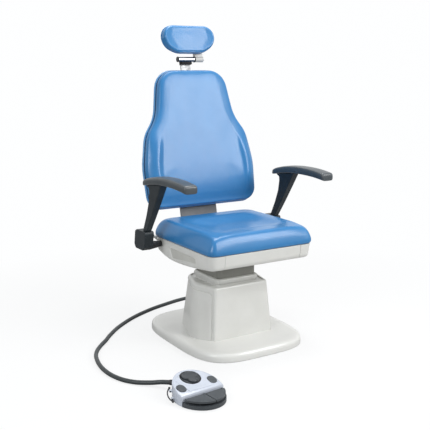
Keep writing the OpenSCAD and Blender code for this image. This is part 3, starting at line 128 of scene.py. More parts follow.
def upholstery(name, dark, light):
    """Coated vinyl: a faint grain over soft creases, under a thin gloss."""
    material, tree, shader = start_material(name, light, 0.4)
    point = object_point(tree)
    tint(tree, shader, noise(tree, point, 0.12, 5), dark, light, 0.3, 0.7)
    uneven_gloss(tree, shader, object_point(tree, (1, 1, 0.3)), 0.05, 0.36, 0.46)
    shader.inputs["Specular IOR Level"].default_value = 0.3
    shader.inputs["Coat Weight"].default_value = 0.44
    shader.inputs["Coat Roughness"].default_value = 0.2
    shader.inputs["Sheen Weight"].default_value = 0.03
    shader.inputs["Sheen Roughness"].default_value = 0.5
    creases = relief(tree, shader, noise(tree, point, 0.045, 4), 0.0009, 0.22)
    relief(tree, shader, cells(tree, point, 0.0011), 0.00022, 0.3, creases)
    return material


def moulded(name, dark, light, roughness, grain=0.0009, depth=0.00012, coat=0.0, shine=0.5):
    """Plastic or paint with a fine grain over a slow wave."""
    material, tree, shader = start_material(name, light, roughness)
    shader.inputs["Specular IOR Level"].default_value = shine
    point = object_point(tree)
    tint(tree, shader, noise(tree, point, 0.09, 4), dark, light)
    uneven_gloss(tree, shader, point, 0.03, roughness - 0.04, roughness + 0.05)
    wave = relief(tree, shader, noise(tree, point, 0.06, 2), 0.0005, 0.12)
    relief(tree, shader, noise(tree, point, grain, 2), depth, 0.4, wave)
    if coat:
        shader.inputs["Coat Weight"].default_value = coat
        shader.inputs["Coat Roughness"].default_value = 0.16
    return material


def metal(name, colour, roughness, stretch=(1, 1, 1)):
    material, tree, shader = start_material(name, colour, roughness, 1.0)
    point = object_point(tree, stretch)
    uneven_gloss(tree, shader, point, 0.02, roughness * 0.8, roughness * 1.3)
    relief(tree, shader, noise(tree, point, 0.0012, 3), 0.00004, 0.4)
    return material


def plywood(name):
    material, tree, shader = start_material(name, (0.5, 0.36, 0.2), 0.6)
    point = object_point(tree, (1, 0.08, 1))
    grain = noise(tree, point, 0.006, 5)
    tint(tree, shader, grain, (0.36, 0.24, 0.12), (0.58, 0.43, 0.25), 0.4, 0.62)
    relief(tree, shader, grain, 0.0003, 0.4)
    return material


look = {
    "blue_cover": upholstery("blue_cover", (0.014, 0.156, 0.385), (0.024, 0.184, 0.43)),
    "beige_plastic": moulded("beige_plastic", (0.64, 0.642, 0.612), (0.675, 0.677, 0.65), 0.34, coat=0.3),
    "steel_black": moulded("steel_black", (0.018, 0.019, 0.021), (0.03, 0.031, 0.034), 0.45, 0.0006),
    "steel_grey": moulded("steel_grey", (0.15, 0.154, 0.16), (0.18, 0.184, 0.19), 0.42, 0.0006),
    "cast_base": moulded("cast_base", (0.045, 0.046, 0.05), (0.07, 0.071, 0.074), 0.6, 0.002, 0.0004),
    "motor_black": moulded("motor_black", (0.012, 0.012, 0.014), (0.022, 0.022, 0.025), 0.35),
    "glide_plastic": moulded("glide_plastic", (0.72, 0.72, 0.68), (0.78, 0.78, 0.74), 0.4),
    "black_plastic": moulded("black_plastic", (0.012, 0.012, 0.014), (0.02, 0.02, 0.022), 0.42),
    "arm_grey": moulded("arm_grey", (0.018, 0.026, 0.032), (0.026, 0.036, 0.043), 0.4, 0.0012, 0.0002,
                        shine=0.4),
    "silver_plastic": moulded("silver_plastic", (0.5, 0.54, 0.61), (0.55, 0.59, 0.67), 0.3, 0.0007, 0.00006),
    "pedal_grey": moulded("pedal_grey", (0.05, 0.058, 0.065), (0.064, 0.072, 0.08), 0.46, 0.0008, shine=0.35),
    "cable_grey": moulded("cable_grey", (0.028, 0.034, 0.036), (0.038, 0.045, 0.048), 0.42, 0.0015, 0.0001,
                          shine=0.35),
    "rubber_black": moulded("rubber_black", (0.01, 0.01, 0.01), (0.018, 0.018, 0.018), 0.7, 0.0008, 0.0002),
    "silver_link": moulded("silver_link", (0.52, 0.52, 0.5), (0.58, 0.58, 0.56), 0.36, 0.0008, 0.00006),
    "chrome": metal("chrome", (0.42, 0.43, 0.44), 0.16),
    "bare_steel": metal("bare_steel", (0.56, 0.57, 0.58), 0.28, (1, 1, 6)),
    "plywood": plywood("plywood"),
}
# Finishes of single pieces that differ a little from their slot's. Several of them are painted light, as said
# at each.
# Lighter blue than the cover on the same vinyl: a painted highlight along the welt.
welt_highlight_look = upholstery("blue_welt", (0.09, 0.28, 0.54), (0.12, 0.32, 0.6))
# Lighter than the other beige covers: painted light for the base's upward face and rim.
base_lit_look = moulded("base_beige", (0.73, 0.732, 0.703), (0.755, 0.757, 0.73), 0.4, coat=0.6)
# Darker beige: painted shade for the floor of the shell's side recess.
recess_shade_look = moulded("recess_beige", (0.5, 0.5, 0.465), (0.54, 0.54, 0.505), 0.5)
# Darker beige on the neck cover: painted shade for the shadow that the seat casts on the neck.
neck_shade_look = moulded("neck_beige", (0.23, 0.23, 0.205), (0.26, 0.26, 0.235), 0.42)
# Lighter grey than the posts of the same plastic: a painted sheen on the pad's top.
pad_sheen_look = moulded("arm_pad_grey", (0.036, 0.046, 0.053), (0.05, 0.061, 0.069), 0.36, 0.0012, 0.0002,
                    shine=0.6)
# Darker grey than the pads of the same plastic: painted shade on the posts' and blocks' sides.
post_shade_look = moulded("arm_post_grey", (0.013, 0.018, 0.022), (0.019, 0.026, 0.031), 0.42, 0.0012, 0.0002,
                     shine=0.3)
# Near black and dull: painted shade and a painted dark reflection under the headrest's tube, on the clamp.
clamp_shade_look = moulded("clamp_black", (0.004, 0.004, 0.006), (0.007, 0.007, 0.01), 0.5, shine=0.12)
dial_look = moulded("dial_grey", (0.03, 0.035, 0.04), (0.04, 0.046, 0.052), 0.42, 0.0008, shine=0.35)
bar_look = metal("satin_bar", (0.3, 0.305, 0.31), 0.5, (1, 6, 1))
node_slot = {part["node"]: part["material_slot"] for part in frame["record"]["subparts"]}
for node, shown in frame["nodes"].items():
    shown.data.materials.clear()
    shown.data.materials.append(look[node_slot[node]])


# Shaping helpers. Places are in metres, in the frame of the piece, and moved to the chair at the end.
ON_BACK = Matrix.Translation((0, 0.155, 0.590)) @ Matrix.Rotation(radians(78), 4, "X")
MAST_Y = -0.010
BOTH = ((-1, "left"), (1, "right"))
SAME_POINT, CLOSED_SEAM, SAME_PLANE = 0.000004, 0.00001, radians(0.6)
BEND_STEPS = 6


def smooth_step(t):
    k = min(max(t, 0), 1)
    return k * k * (3 - 2 * k)


def corner(a, b, c, r, steps):
    u, v = (a - b).normalized(), (c - b).normalized()
    half = acos(max(-1, min(1, u.dot(v)))) / 2
    hub = b + (u + v).normalized() * r / sin(half)
    start = b + u * r / tan(half) - hub
    turn = (1 if u.cross(v) < 0 else -1) * (pi - 2 * half)
    return [hub + Matrix.Rotation(turn * i / steps, 2) @ start for i in range(steps + 1)]


def moved_corner(a, b, c, inset):
    u, v = (a - b).normalized(), (c - b).normalized()
    half = acos(max(-1, min(1, u.dot(v)))) / 2
    return b + (1 if u.cross(v) < 0 else -1) * (u + v).normalized() * inset / sin(half)


def outline(points, radii, extra, inset=0.0, least=0.006, hollow=()):
    """A closed line with rounded corners, moved inwards by inset. Each straight part gets its number of
    extra points; the corners named in hollow bend the other way and grow with the inset."""
    points = [Vector(p) for p in points]
    n = len(points)
    plan = [moved_corner(points[i - 1], points[i], points[(i + 1) % n], inset) for i in range(n)]
    size = [radii[i] + inset if i in hollow else max(radii[i] - inset, least) for i in range(n)]
    bends = [corner(plan[i - 1], plan[i], plan[(i + 1) % n], size[i], BEND_STEPS) for i in range(n)]
    ring = []
    for i in range(n):
        ring += bends[i]
        end, ahead = bends[i][-1], bends[(i + 1) % n][0]
        ring += [end.lerp(ahead, k / (extra[i] + 1)) for k in range(1, extra[i] + 1)]
    return ring


def both_sides(points):
    return list(points) + [(-x, y) for x, y in reversed(points)]


def grown(bm, verts, ring):
    """Extrudes the open edge that runs through verts and moves the new edge to ring."""
    n = len(verts)
    edges = [bm.edges.get((verts[i], verts[(i + 1) % n])) for i in range(n)]
    made = bmesh.ops.extrude_edge_only(bm, edges=edges)["geom"]
    fresh = {v for v in made if isinstance(v, bmesh.types.BMVert)}
    ahead = []
    for v in verts:
        ahead.append(next(e.other_vert(v) for e in v.link_edges if e.other_vert(v) in fresh))
    for v, place in zip(ahead, ring):
        v.co = place
    return ahead


def ringed(rings, ends=True):
    """A skin through rings of equally many points, grown ring by ring from a circle. Its two ends are
    closed with a face where ends is true."""
    bm = bmesh.new()
    verts = bmesh.ops.create_circle(bm, segments=len(rings[0]), radius=1)["verts"]
    for v, place in zip(verts, rings[0]):
        v.co = place
    start = verts
    for ring in rings[1:]:
        verts = grown(bm, verts, ring)
    if ends:
        bm.faces.new(start)
        bm.faces.new(verts)
    bmesh.ops.recalc_face_normals(bm, faces=bm.faces)
    return bm


def quilted(rings, first, along, height=None):
    """A form whose last ring is closed by a quilt of four-sided faces. The quilt's corners are the
    ring's points first, first + along, and so on round; height lifts each of its points."""
    total = len(rings[0])
    across = total // 2 - along
    at = [Vector(rings[-1][(first + i) % total]) for i in range(total)]
    bm = bmesh.new()
    bmesh.ops.create_grid(bm, x_segments=along, y_segments=across, size=0.5)
    grid = {}
    for v in bm.verts:
        grid[round((v.co.x + 0.5) * along), round((v.co.y + 0.5) * across)] = v
    low = at[:along + 1]
    right = at[along:along + across + 1]
    top = [at[(2 * along + across - i) % total] for i in range(along + 1)]
    left = [at[(total - i) % total] for i in range(across + 1)]
    for (i, j), v in grid.items():
        s, t = i / along, j / across
        place = low[i].lerp(top[i], t) + left[j].lerp(right[j], s)
        place -= low[0].lerp(low[-1], s).lerp(top[0].lerp(top[-1], s), t)
        v.co = place
        if height is not None:
            v.co.z += height(place)
    edge = [grid[i, 0] for i in range(along)] + [grid[along, j] for j in range(across)]
    edge += [grid[along - i, across] for i in range(along)] + [grid[0, across - j] for j in range(across)]
    for ring in reversed(rings[:-1]):
        edge = grown(bm, edge, [ring[(first + i) % total] for i in range(total)])
    bm.faces.new(edge)
    bmesh.ops.recalc_face_normals(bm, faces=bm.faces)
    return bm


def add_piece(name, bm, slot, body, replaces=(), place=None, subdivide=0, bevel=0.0, angle=32, segments=2,
              material=None):
    """A finished piece from bm, on its body. It is either subdivided, or smooth up to angle with its
    sharper edges rounded by bevel."""
    mesh = bpy.data.meshes.new(name)
    if place is not None:
        bmesh.ops.transform(bm, matrix=place, verts=bm.verts)
    bm.to_mesh(mesh)
    bm.free()
    piece = bpy.data.objects.new(name, mesh)
    scene.collection.objects.link(piece)
    mesh.materials.append(material or look[slot])
    mesh.shade_smooth()
    if not subdivide:
        mesh.set_sharp_from_angle(angle=radians(angle))
    if bevel:
        edge = piece.modifiers.new("edge", "BEVEL")
        edge.width, edge.segments = bevel, segments
        edge.limit_method, edge.angle_limit = "ANGLE", radians(angle)
        edge.harden_normals = not subdivide
    if subdivide:
        divide = piece.modifiers.new("divide", "SUBSURF")
        divide.levels = divide.render_levels = subdivide
    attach(piece, body)
    if replaces:
        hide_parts(*replaces)
    return piece


def body_with(node):
    return next(body for body, members in frame["record"]["behaviour"]["bodies"].items() if node in members)


def merged_copy(node):
    bm = bmesh.new()
    bm.from_mesh(frame["nodes"][node].data)
    bmesh.ops.remove_doubles(bm, verts=bm.verts, dist=SAME_POINT)
    return bm


def finish_node(node, bm, bevel, angle=32, segments=2, material=None):
    """Puts bm, a copy of the node's own shape, in its place with smooth curves and rounded edges."""
    bmesh.ops.dissolve_limit(bm, angle_limit=SAME_PLANE, verts=bm.verts, edges=bm.edges)
    add_piece(node + ".finished", bm, node_slot[node], body_with(node), (node,), bevel=bevel, angle=angle,
              segments=segments, material=material)


# Cable of the foot control: the route's points are those of the part's source, in millimetres
cable_route = [
    (80, 208, 62), (80, 216, 62), (80, 230, 62), (84, 258, 59), (94, 295, 55), (112, 335, 48), (136, 380, 26),
    (157, 418, 13), (171, 456, 9.5), (162, 510, 9), (120, 542, 9), (60, 538, 9), (-20, 516, 9),
    (-140, 474, 9), (-270, 406, 9), (-385, 320, 9), (-465, 240, 9), (-512, 184, 9),
    (-562, 130, 9), (-602, 76, 9), (-630, 14, 9), (-651, -76, 9), (-654, -166, 9),
    (-636, -245, 9), (-603, -302, 10), (-560, -345, 14), (-527, -378, 21), (-505, -408, 26)]
CABLE_D = 0.018


def through(points, steps):
    """A smooth line through the points."""
    points = [Vector(p) / 1000 for p in points]
    n = len(points)
    line = []
    for i in range(n - 1):
        a, b, c, d = points[max(i - 1, 0)], points[i], points[i + 1], points[min(i + 2, n - 1)]
        for k in range(steps):
            t = k / steps
            line.append(0.5 * (2 * b + (c - a) * t + (2 * a - 5 * b + 4 * c - d) * t * t
                               + (3 * b - a - 3 * c + d) * t * t * t))
    return line + [points[-1]]


cable_line = through(cable_route, 6)
cable_curve = bpy.data.curves.new("cable", "CURVE")
cable_curve.dimensions = "3D"
cable_curve.bevel_depth = CABLE_D / 2
cable_curve.bevel_resolution = 6
cable_curve.use_fill_caps = True
strand = cable_curve.splines.new("POLY")
strand.points.add(len(cable_line) - 1)
for spot, place in zip(strand.points, cable_line):
    spot.co = (*place, 1)
strand.use_smooth = True
cable = bpy.data.objects.new("cable", cable_curve)
scene.collection.objects.link(cable)
cable_curve.materials.append(look["cable_grey"])
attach(cable, "base")
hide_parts("foot_cable")


def thrown_away(piece):
    mesh = piece.data
    bpy.data.objects.remove(piece)
    bpy.data.meshes.remove(mesh)


def as_bmesh(piece):
    """The piece's shape with its modifiers applied, as a new bmesh; the piece itself is removed."""
    scene.view_layers[0].update()
    bm = bmesh.new()
    bm.from_object(piece, bpy.context.evaluated_depsgraph_get())
    thrown_away(piece)
    return bm


def bare_piece(name, bm):
    mesh = bpy.data.meshes.new(name)
    bm.to_mesh(mesh)
    bm.free()
    piece = bpy.data.objects.new(name, mesh)
    scene.collection.objects.link(piece)
    return piece


def divided(bm, levels=1):
    piece = bare_piece("uncut", bm)
    divide = piece.modifiers.new("divide", "SUBSURF")
    divide.levels = divide.render_levels = levels
    return as_bmesh(piece)


FOAM_PRESSURE, SETTLING_FRAMES = 3.0, 20


def filled_with_foam(bm, board_z, rise):
    """Blows the cover up from inside as foam does and lets its folds settle. Points below board_z stay
    on their board. The moves are scaled down together until the largest is rise."""
    bm = divided(bm)
    bm.verts.ensure_lookup_table()
    before = [v.co.copy() for v in bm.verts]
    piece = bare_piece("cover", bm)
    tacked = piece.vertex_groups.new(name="tacked")
    tacked.add([i for i, place in enumerate(before) if place.z < board_z], 1.0, "REPLACE")
    cloth = piece.modifiers.new("cloth", "CLOTH")
    cloth.settings.effector_weights.gravity = 0
    cloth.settings.use_pressure = True
    cloth.settings.uniform_pressure_force = FOAM_PRESSURE
    cloth.settings.vertex_group_mass = "tacked"
    cloth.settings.tension_stiffness = cloth.settings.compression_stiffness = 30
    cloth.settings.shear_stiffness = 12
    cloth.settings.bending_stiffness = 2
    cloth.settings.quality = 6
    cloth.point_cache.frame_start, cloth.point_cache.frame_end = 1, SETTLING_FRAMES
    for step in range(1, SETTLING_FRAMES + 1):
        scene.frame_set(step)
    bm = as_bmesh(piece)
    bm.verts.ensure_lookup_table()
    moves = [v.co - place for v, place in zip(bm.verts, before)]
    share = min(1, rise / max(move.length for move in moves))
    for v, place, move in zip(bm.verts, before, moves):
        v.co = place + move * share
    scene.frame_set(1)
    return bm


def cut_out(bm, cutter):
    piece, tool = bare_piece("whole", bm), bare_piece("cutter", cutter)
    carve = piece.modifiers.new("carve", "BOOLEAN")
    carve.operation, carve.solver, carve.object = "DIFFERENCE", "EXACT", tool
    bm = as_bmesh(piece)
    thrown_away(tool)
    return bm


def piping(name, ring, radius, body, place, cover):
    """A round welt sewn into a seam, run along a closed ring of points."""
    curve = bpy.data.curves.new(name, "CURVE")
    curve.dimensions = "3D"
    curve.bevel_depth = radius
    curve.bevel_resolution = 3
    line = curve.splines.new("POLY")
    line.points.add(len(ring) - 1)
    for spot, point in zip(line.points, ring):
        spot.co = (*(place @ Vector(point)), 1)
    line.use_cyclic_u = True
    line.use_smooth = True
    piece = bpy.data.objects.new(name, curve)
    scene.collection.objects.link(piece)
    curve.materials.append(cover)
    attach(piece, body)


# Backrest: X across, Y up along the face, Z to the front
BACK_W, BACK_H, BACK_T, BACK_TOP_W = 0.576, 0.625, 0.038, 0.340
SHELL_T, SHELL_CROWN, SHELL_RUN = 0.014, 0.026, 0.080
FACE_RISE = 0.205 * BACK_T
back_plan = both_sides([(x * BACK_W / 2, y * BACK_H) for x, y in
                        [(0.975, 0), (1, 0.304), (0.91, 0.528), (0.712, 0.656), (BACK_TOP_W / BACK_W, 1)]])
back_radii = [0.060, 0.3, 0.15, 0.18, 0.09, 0.09, 0.18, 0.15, 0.3, 0.060]
back_extra = [2, 2, 1, 2, 5, 2, 1, 2, 2, 9]


def back_edge(inset):
    return outline(back_plan, back_radii, back_extra, inset, 0.016, (3, 6))


right_edge = sorted((p.y, p.x) for p in back_edge(0) if p.x > 0)


def half_width(y):
    for (y0, x0), (y1, x1) in zip(right_edge, right_edge[1:]):
        if y0 <= y <= y1 and y1 > y0:
            return x0 + (x1 - x0) * (y - y0) / (y1 - y0)
    return right_edge[0][1] if y < right_edge[0][0] else right_edge[-1][1]


BOLSTER_H, CREST_RISE, CREST_END, CREST_FALL = 0.013, 0.040, 0.046, 0.032
STARTS_UP, START_RUN, ENDS_UP, END_RUN = 0.04, 0.15, 0.36, 0.21
WRAP, WRAP_RUN, ROLL, ROLL_RUN = 0.003, 0.3, 0.007, 0.16


def bolster(x, y):
    """Height of the side bolsters: a crest that keeps its distance from the edge and ends at the waist."""
    inside = half_width(y) - abs(x)
    up = y / BACK_H
    length = smooth_step((up - STARTS_UP) / START_RUN) * (1 - smooth_step((up - ENDS_UP) / END_RUN))
    rise, fall = smooth_step(inside / CREST_RISE), 1 - smooth_step((inside - CREST_END) / CREST_FALL)
    return BOLSTER_H * length * rise * fall


def back_hollow(x, y):
    """The face bends a little round the sitter, and rolls back at its lower edge."""
    up = y / BACK_H
    wrap = WRAP * (x / half_width(y)) ** 2 * smooth_step(up / WRAP_RUN)
    return wrap - ROLL * (1 - smooth_step(up / ROLL_RUN))


def back_ring(inset, z, hollow=0.0):
    return [Vector((p.x, p.y, z + bolster(p.x, p.y) + hollow * back_hollow(p.x, p.y)))
            for p in back_edge(inset)]


def back_face(place):
    return bolster(place.x, place.y) + back_hollow(place.x, place.y) - place.z + FACE_RISE


# Rows from the board up: inset, height as a share of the thickness, share of the hollow
back_rings = [back_ring(inset, height * BACK_T, share) for inset, height, share in
              [(0.03, -1, 0), (0.011, -1, 0), (0.0085, -0.93, 0), (0.003, -0.82, 0), (-0.001, -0.6, 0),
               (-0.001, -0.3, 0), (0.0008, -0.1, 0.1), (0.0032, 0, 0.25), (0.0075, 0.07, 0.5),
               (0.013, 0.11, 0.75), (0.022, 0.145, 0.95), (0.035, 0.175, 1), (0.05, 0.195, 1)]]
BACK_CORNER, BACK_ALONG = BEND_STEPS // 2, 4 * BEND_STEPS + sum(back_extra[:4])
back_form = filled_with_foam(quilted(back_rings, BACK_CORNER, BACK_ALONG, back_face), -0.6 * BACK_T, 0.004)
back_cushion = add_piece("back_cushion.upholstered", back_form, "blue_cover", "backrest", ("back_cushion",),
                         ON_BACK, subdivide=1)
# The welt's lighter blue is a painted highlight.
piping("back_cushion.piping", [(p.x, p.y, -0.98 * BACK_T) for p in back_edge(-0.0008)], 0.0052, "backrest",
       ON_BACK, welt_highlight_look)

# Rear shell of the backrest: a thin crowned cover with a slot for the headrest's bar
back_shell_rings = [[Vector((p.x, p.y, z)) for p in back_edge(inset)] for inset, z in
                    [(0.008, -BACK_T - 0.012), (0.008, -BACK_T - 0.002), (0.003, -BACK_T - 0.002),
                     (0.0005, -BACK_T - 0.005), (0, -BACK_T - SHELL_T)]
                    + [(SHELL_RUN * u, -BACK_T - SHELL_T - SHELL_CROWN * (1 - (1 - u) ** 3.4))
                       for u in (0.03, 0.08, 0.15, 0.25, 0.4, 0.6, 0.8)]]
bar_slot = bmesh.new()
slot_place = Matrix.Translation((0, 0.545, -0.058)) @ Matrix.Diagonal((0.0516, 0.29, 0.0094, 1))
bmesh.ops.create_cube(bar_slot, size=1, matrix=slot_place)
shell_form = cut_out(divided(quilted(back_shell_rings, BACK_CORNER, BACK_ALONG), 2), bar_slot)
add_piece("back_shell.covered", shell_form, "blue_cover", "backrest", ("back_shell",), ON_BACK,
          bevel=0.0008, angle=50)

# Seat cushion: places along Y are measured from the column's axis
SEAT_HALF, SEAT_FRONT, SEAT_REAR, SHELL_TOP = 0.2625, -0.3065, 0.215, 0.462
DISH, DISH_RIM, DISH_REAR_RIM, DISH_SIDE_RUN, DISH_RUN = 0.022, 0.054, 0.11, 0.09, 0.12
CORNER_SINK, CORNER_X, CORNER_Y, CORNER_RUN, CORNER_Z = 0.011, 0.15, -0.19, 0.11, 0.08


def corner_fall(p, z):
    """The cushion sinks a little towards its two front corners."""
    near = smooth_step((abs(p.x) - CORNER_X) / CORNER_RUN) * smooth_step((CORNER_Y - p.y) / CORNER_RUN)
    return CORNER_SINK * near * smooth_step(z / CORNER_Z)


def seat_ring(side, front, rear, z, front_r, rear_r):
    w, f, b = SEAT_HALF - side, SEAT_FRONT + front, SEAT_REAR - rear
    ring = outline([(w, b), (-w, b), (-w, f), (w, f)], [rear_r, rear_r, front_r, front_r], [9] * 4)
    return [Vector((p.x, p.y, z - corner_fall(p, z))) for p in ring]


def seat_dish(place):
    side = smooth_step((SEAT_HALF - DISH_RIM - abs(place.x)) / DISH_SIDE_RUN)
    front = smooth_step((place.y - SEAT_FRONT - DISH_RIM) / DISH_RUN)
    rear = smooth_step((SEAT_REAR - DISH_REAR_RIM - place.y) / DISH_RUN)
    return -DISH * side * front * rear


# Rows from the shell up: insets at the side, front and rear, height, front and rear corner radius
seat_rings = [seat_ring(*row) for row in
              [(0.03, 0.03, 0.03, 0, 0.03, 0.05), (0.004, 0.004, 0.005, 0, 0.036, 0.045),
               (0.0005, 0.0005, 0, 0.004, 0.036, 0.046), (-0.0012, -0.0012, 0, 0.014, 0.032, 0.046),
               (0.0035, 0.0025, 0.002, 0.032, 0.026, 0.044), (0.012, 0.008, 0.013, 0.055, 0.021, 0.042),
               (0.021, 0.017, 0.031, 0.073, 0.019, 0.042), (0.029, 0.026, 0.047, 0.0805, 0.022, 0.042),
               (0.038, 0.036, 0.066, 0.083, 0.028, 0.042), (0.052, 0.050, 0.088, 0.081, 0.038, 0.042)]]
seat_form = filled_with_foam(quilted(seat_rings, 3, 16, seat_dish), 0.010, 0.004)
seat_cushion = add_piece("seat_cushion.upholstered", seat_form, "blue_cover", "seat", ("seat_cushion",),
                         Matrix.Translation((0, MAST_Y, SHELL_TOP)), subdivide=1)

# Headrest pad: in the backrest's frame, moved up to the upper pivot
HEAD_W, HEAD_H, HEAD_T, HEAD_DIP, HEAD_FACE = 0.280, 0.126, 0.046, 0.017, 0.044
ON_HEAD = ON_BACK @ Matrix.Translation((0, 0.768, -0.022))
head_plan = both_sides([(0.47 * HEAD_W / 2, -0.5 * HEAD_H), (0.93 * HEAD_W / 2, -0.27 * HEAD_H),
                        (HEAD_W / 2, 0.5 * HEAD_H)])
head_radii = [0.8 * HEAD_H, 0.5 * HEAD_H, 0.43 * HEAD_H, 0.43 * HEAD_H, 0.5 * HEAD_H, 0.8 * HEAD_H]


def head_hollow(x):
    return HEAD_DIP * (1 - (2 * x / HEAD_W) ** 2)


def head_ring(inset, z):
    """The hollow grows in over the upper part of the pad's thickness."""
    ring = outline(head_plan, head_radii, [2, 3, 7, 3, 2, 5], inset)
    return [Vector((p.x, p.y, z - smooth_step(3 * z / HEAD_T - 1.8) * head_hollow(p.x))) for p in ring]


def head_face(place):
    return HEAD_FACE - head_hollow(place.x) - place.z


# Rows from the board up: inset and height
head_rings = [head_ring(*row) for row in
              [(0.012, 0), (0.004, 0), (0.0008, 0.003), (0, 0.012), (0, 0.025), (0.001, 0.0345),
               (0.0032, 0.0412), (0.0068, 0.0452), (0.011, 0.046), (0.017, 0.0448), (0.028, HEAD_FACE)]]
head_form = filled_with_foam(quilted(head_rings, 22, 14, head_face), 0.008, 0.003)
headrest_pad = add_piece("headrest_pad.upholstered", head_form, "blue_cover", "headrest", ("headrest_pad",),
                         ON_HEAD, subdivide=1)
piping("headrest_pad.piping", head_ring(0.0, 0.006), 0.0018, "headrest", ON_HEAD, look["blue_cover"])

# Headrest tube: a dark cap in its free end and a dark ring beside the link
ON_TUBE = ON_BACK @ Matrix.Translation((0, 0.683, -0.042)) @ Matrix.Rotation(radians(90), 4, "Y")


def tube_trim(name, slot, profile):
    """A round piece on the headrest's tube, spun about the tube's axis from (radius, height) points."""
    bm = bmesh.new()
    rim = [bm.verts.new((r, 0, z)) for r, z in profile]
    edges = [bm.edges.new(pair) for pair in zip(rim, rim[1:])]
    bmesh.ops.spin(bm, geom=rim + edges, cent=(0, 0, 0), axis=(0, 0, 1), angle=2 * pi, steps=48,
                   use_merge=True)
    bmesh.ops.remove_doubles(bm, verts=bm.verts, dist=CLOSED_SEAM)
    bmesh.ops.recalc_face_normals(bm, faces=bm.faces)
    add_piece(name, bm, slot, "headrest_mast", place=ON_TUBE, angle=30)


tube_trim("headrest_tube.end_ring", "black_plastic",
          [(0.0092, -0.0478), (0.0118, -0.0478), (0.0126, -0.047), (0.0126, -0.0435), (0.0118, -0.0428),
           (0.0121, -0.0445), (0.0118, -0.0462), (0.0092, -0.0462), (0.0092, -0.0478)])
tube_trim("headrest_tube.end_cap", "arm_grey",
          [(0, -0.0474), (0.0085, -0.0474), (0.0091, -0.0468), (0.0091, -0.0461), (0, -0.0461)])
tube_trim("headrest_tube.side_ring", "black_plastic",
          [(0.01202, 0.0395), (0.0135, 0.0397), (0.014, 0.0403), (0.014, 0.0448), (0.0135, 0.0454),
           (0.01202, 0.0455), (0.01202, 0.0395)])

# Armrest pads: sections across the pad, from its front end to its rear end. Each row gives a section's
# share of the length, width and thickness, and how far it has fallen from the pad's top.
ARM_X, PAD_FRONT, PAD_LEN, PAD_W, PAD_T, PAD_TOP, PAD_FALL = 0.343, -0.302, 0.396, 0.064, 0.034, 0.772, 0.024
pad_rows = [(0, 0.7, 0.72, 0.46), (0.006, 0.9, 0.9, 0.44), (0.024, 0.97, 0.96, 0.37),
            (0.08, 0.99, 0.95, 0.26), (0.16, 1, 0.98, 0.12), (0.28, 1, 1, 0.02), (0.42, 1, 1, 0),
            (0.56, 0.98, 1, 0.08), (0.7, 0.95, 0.98, 0.3), (0.82, 0.91, 0.94, 0.6),
            (0.91, 0.85, 0.86, 0.86), (0.97, 0.7, 0.68, 1), (1, 0.42, 0.4, 1.06)]
pad_section = [(-0.36, 0), (0, 0), (0.36, 0), (0.48, 0.06), (0.505, 0.3), (0.505, 0.66), (0.475, 0.9),
               (0.38, 0.99), (0, 1.03), (-0.38, 0.99), (-0.475, 0.9), (-0.505, 0.66), (-0.505, 0.3),
               (-0.48, 0.06)]
for side, name in BOTH:
    sections = []
    for along, width, thick, drop in pad_rows:
        y, low = PAD_FRONT + PAD_LEN * along, PAD_TOP - PAD_T - PAD_FALL * drop
        sections.append([Vector((side * ARM_X + x * PAD_W * width, y, low + z * PAD_T * thick))
                         for x, z in pad_section])
    # The pad's lighter grey is a painted sheen on its top.
    pad = add_piece("armrest_pad_%s.moulded" % name, ringed(sections), "arm_grey", "armrest_" + name,
                    ("armrest_pad_" + name,), subdivide=2, material=pad_sheen_look)


# Base cover: a flat top, a rounded rim and a short upright side
BASE_W, BASE_D, BASE_POWER, BASE_POINTS = 0.552, 0.664, 0.52, 112


def rounded_box_line(share, half):
    """Where the base's outline stands along one axis: half its length, with the share's own sign."""
    return half * abs(share) ** BASE_POWER * (1 if share > 0 else -1)


def base_ring(inset, z):
    turns = [2 * pi * (i + 0.5) / BASE_POINTS for i in range(BASE_POINTS)]
    return [Vector((rounded_box_line(cos(turn), BASE_W / 2 - inset),
                    rounded_box_line(sin(turn), BASE_D / 2 - inset), z)) for turn in turns]


# Rows from the floor up: inset and height
base_rings = [base_ring(inset, z) for inset, z in
              [(0.012, 0.0015), (0.0015, 0.0015), (0.0002, 0.003), (0, 0.010), (0.0006, 0.022), (0.002, 0.029),
               (0.005, 0.0345), (0.0095, 0.0385), (0.0155, 0.0408), (0.024, 0.0419), (0.036, 0.042)]]
base_form = quilted(base_rings, BASE_POINTS // 8, BASE_POINTS // 4)
# Its lighter beige is painted light for the upward face and rim.
add_piece("base_cover.moulded", base_form, "beige_plastic", "base", ("base_cover",), subdivide=1,
          material=base_lit_look)

# Seat shell: the recess in each side has sloping walls and, on its floor, a thin darker sheet that is painted
# shade for the recess. Both follow the side's draft; their rows give the depth from the shell's face and the
# inset from the recess's outline.
SHELL_HALF, SHELL_DRAFT = 0.260, atan(6 / 90)
RECESS = [(-0.171, -0.056), (0.038, -0.077), (0.063, -0.026), (-0.166, -0.030)]
RECESS_CUT = ((0.004, -0.003), (0.0003, -0.0026), (-0.0008, -0.0016), (-0.0036, 0.0016), (-0.0042, 0.003))
RECESS_SHADE_SHEET = ((-0.0041, 0.0036), (-0.0039, 0.0034), (-0.0035, 0.0036), (-0.0034, 0.0042))


def recess_form(side, rows):
    rings = [[Vector((depth, p.x, p.y)) for p in outline(RECESS, [0.009] * 4, [3] * 4, inset)]
             for depth, inset in rows]
    bm = ringed(rings)
    place = Matrix.Translation((side * SHELL_HALF, MAST_Y, SHELL_TOP)) @ Matrix.Diagonal((side, 1, 1, 1))
    bmesh.ops.transform(bm, matrix=place @ Matrix.Rotation(SHELL_DRAFT, 4, "Y"), verts=bm.verts)
    bmesh.ops.recalc_face_normals(bm, faces=bm.faces)
    return bm


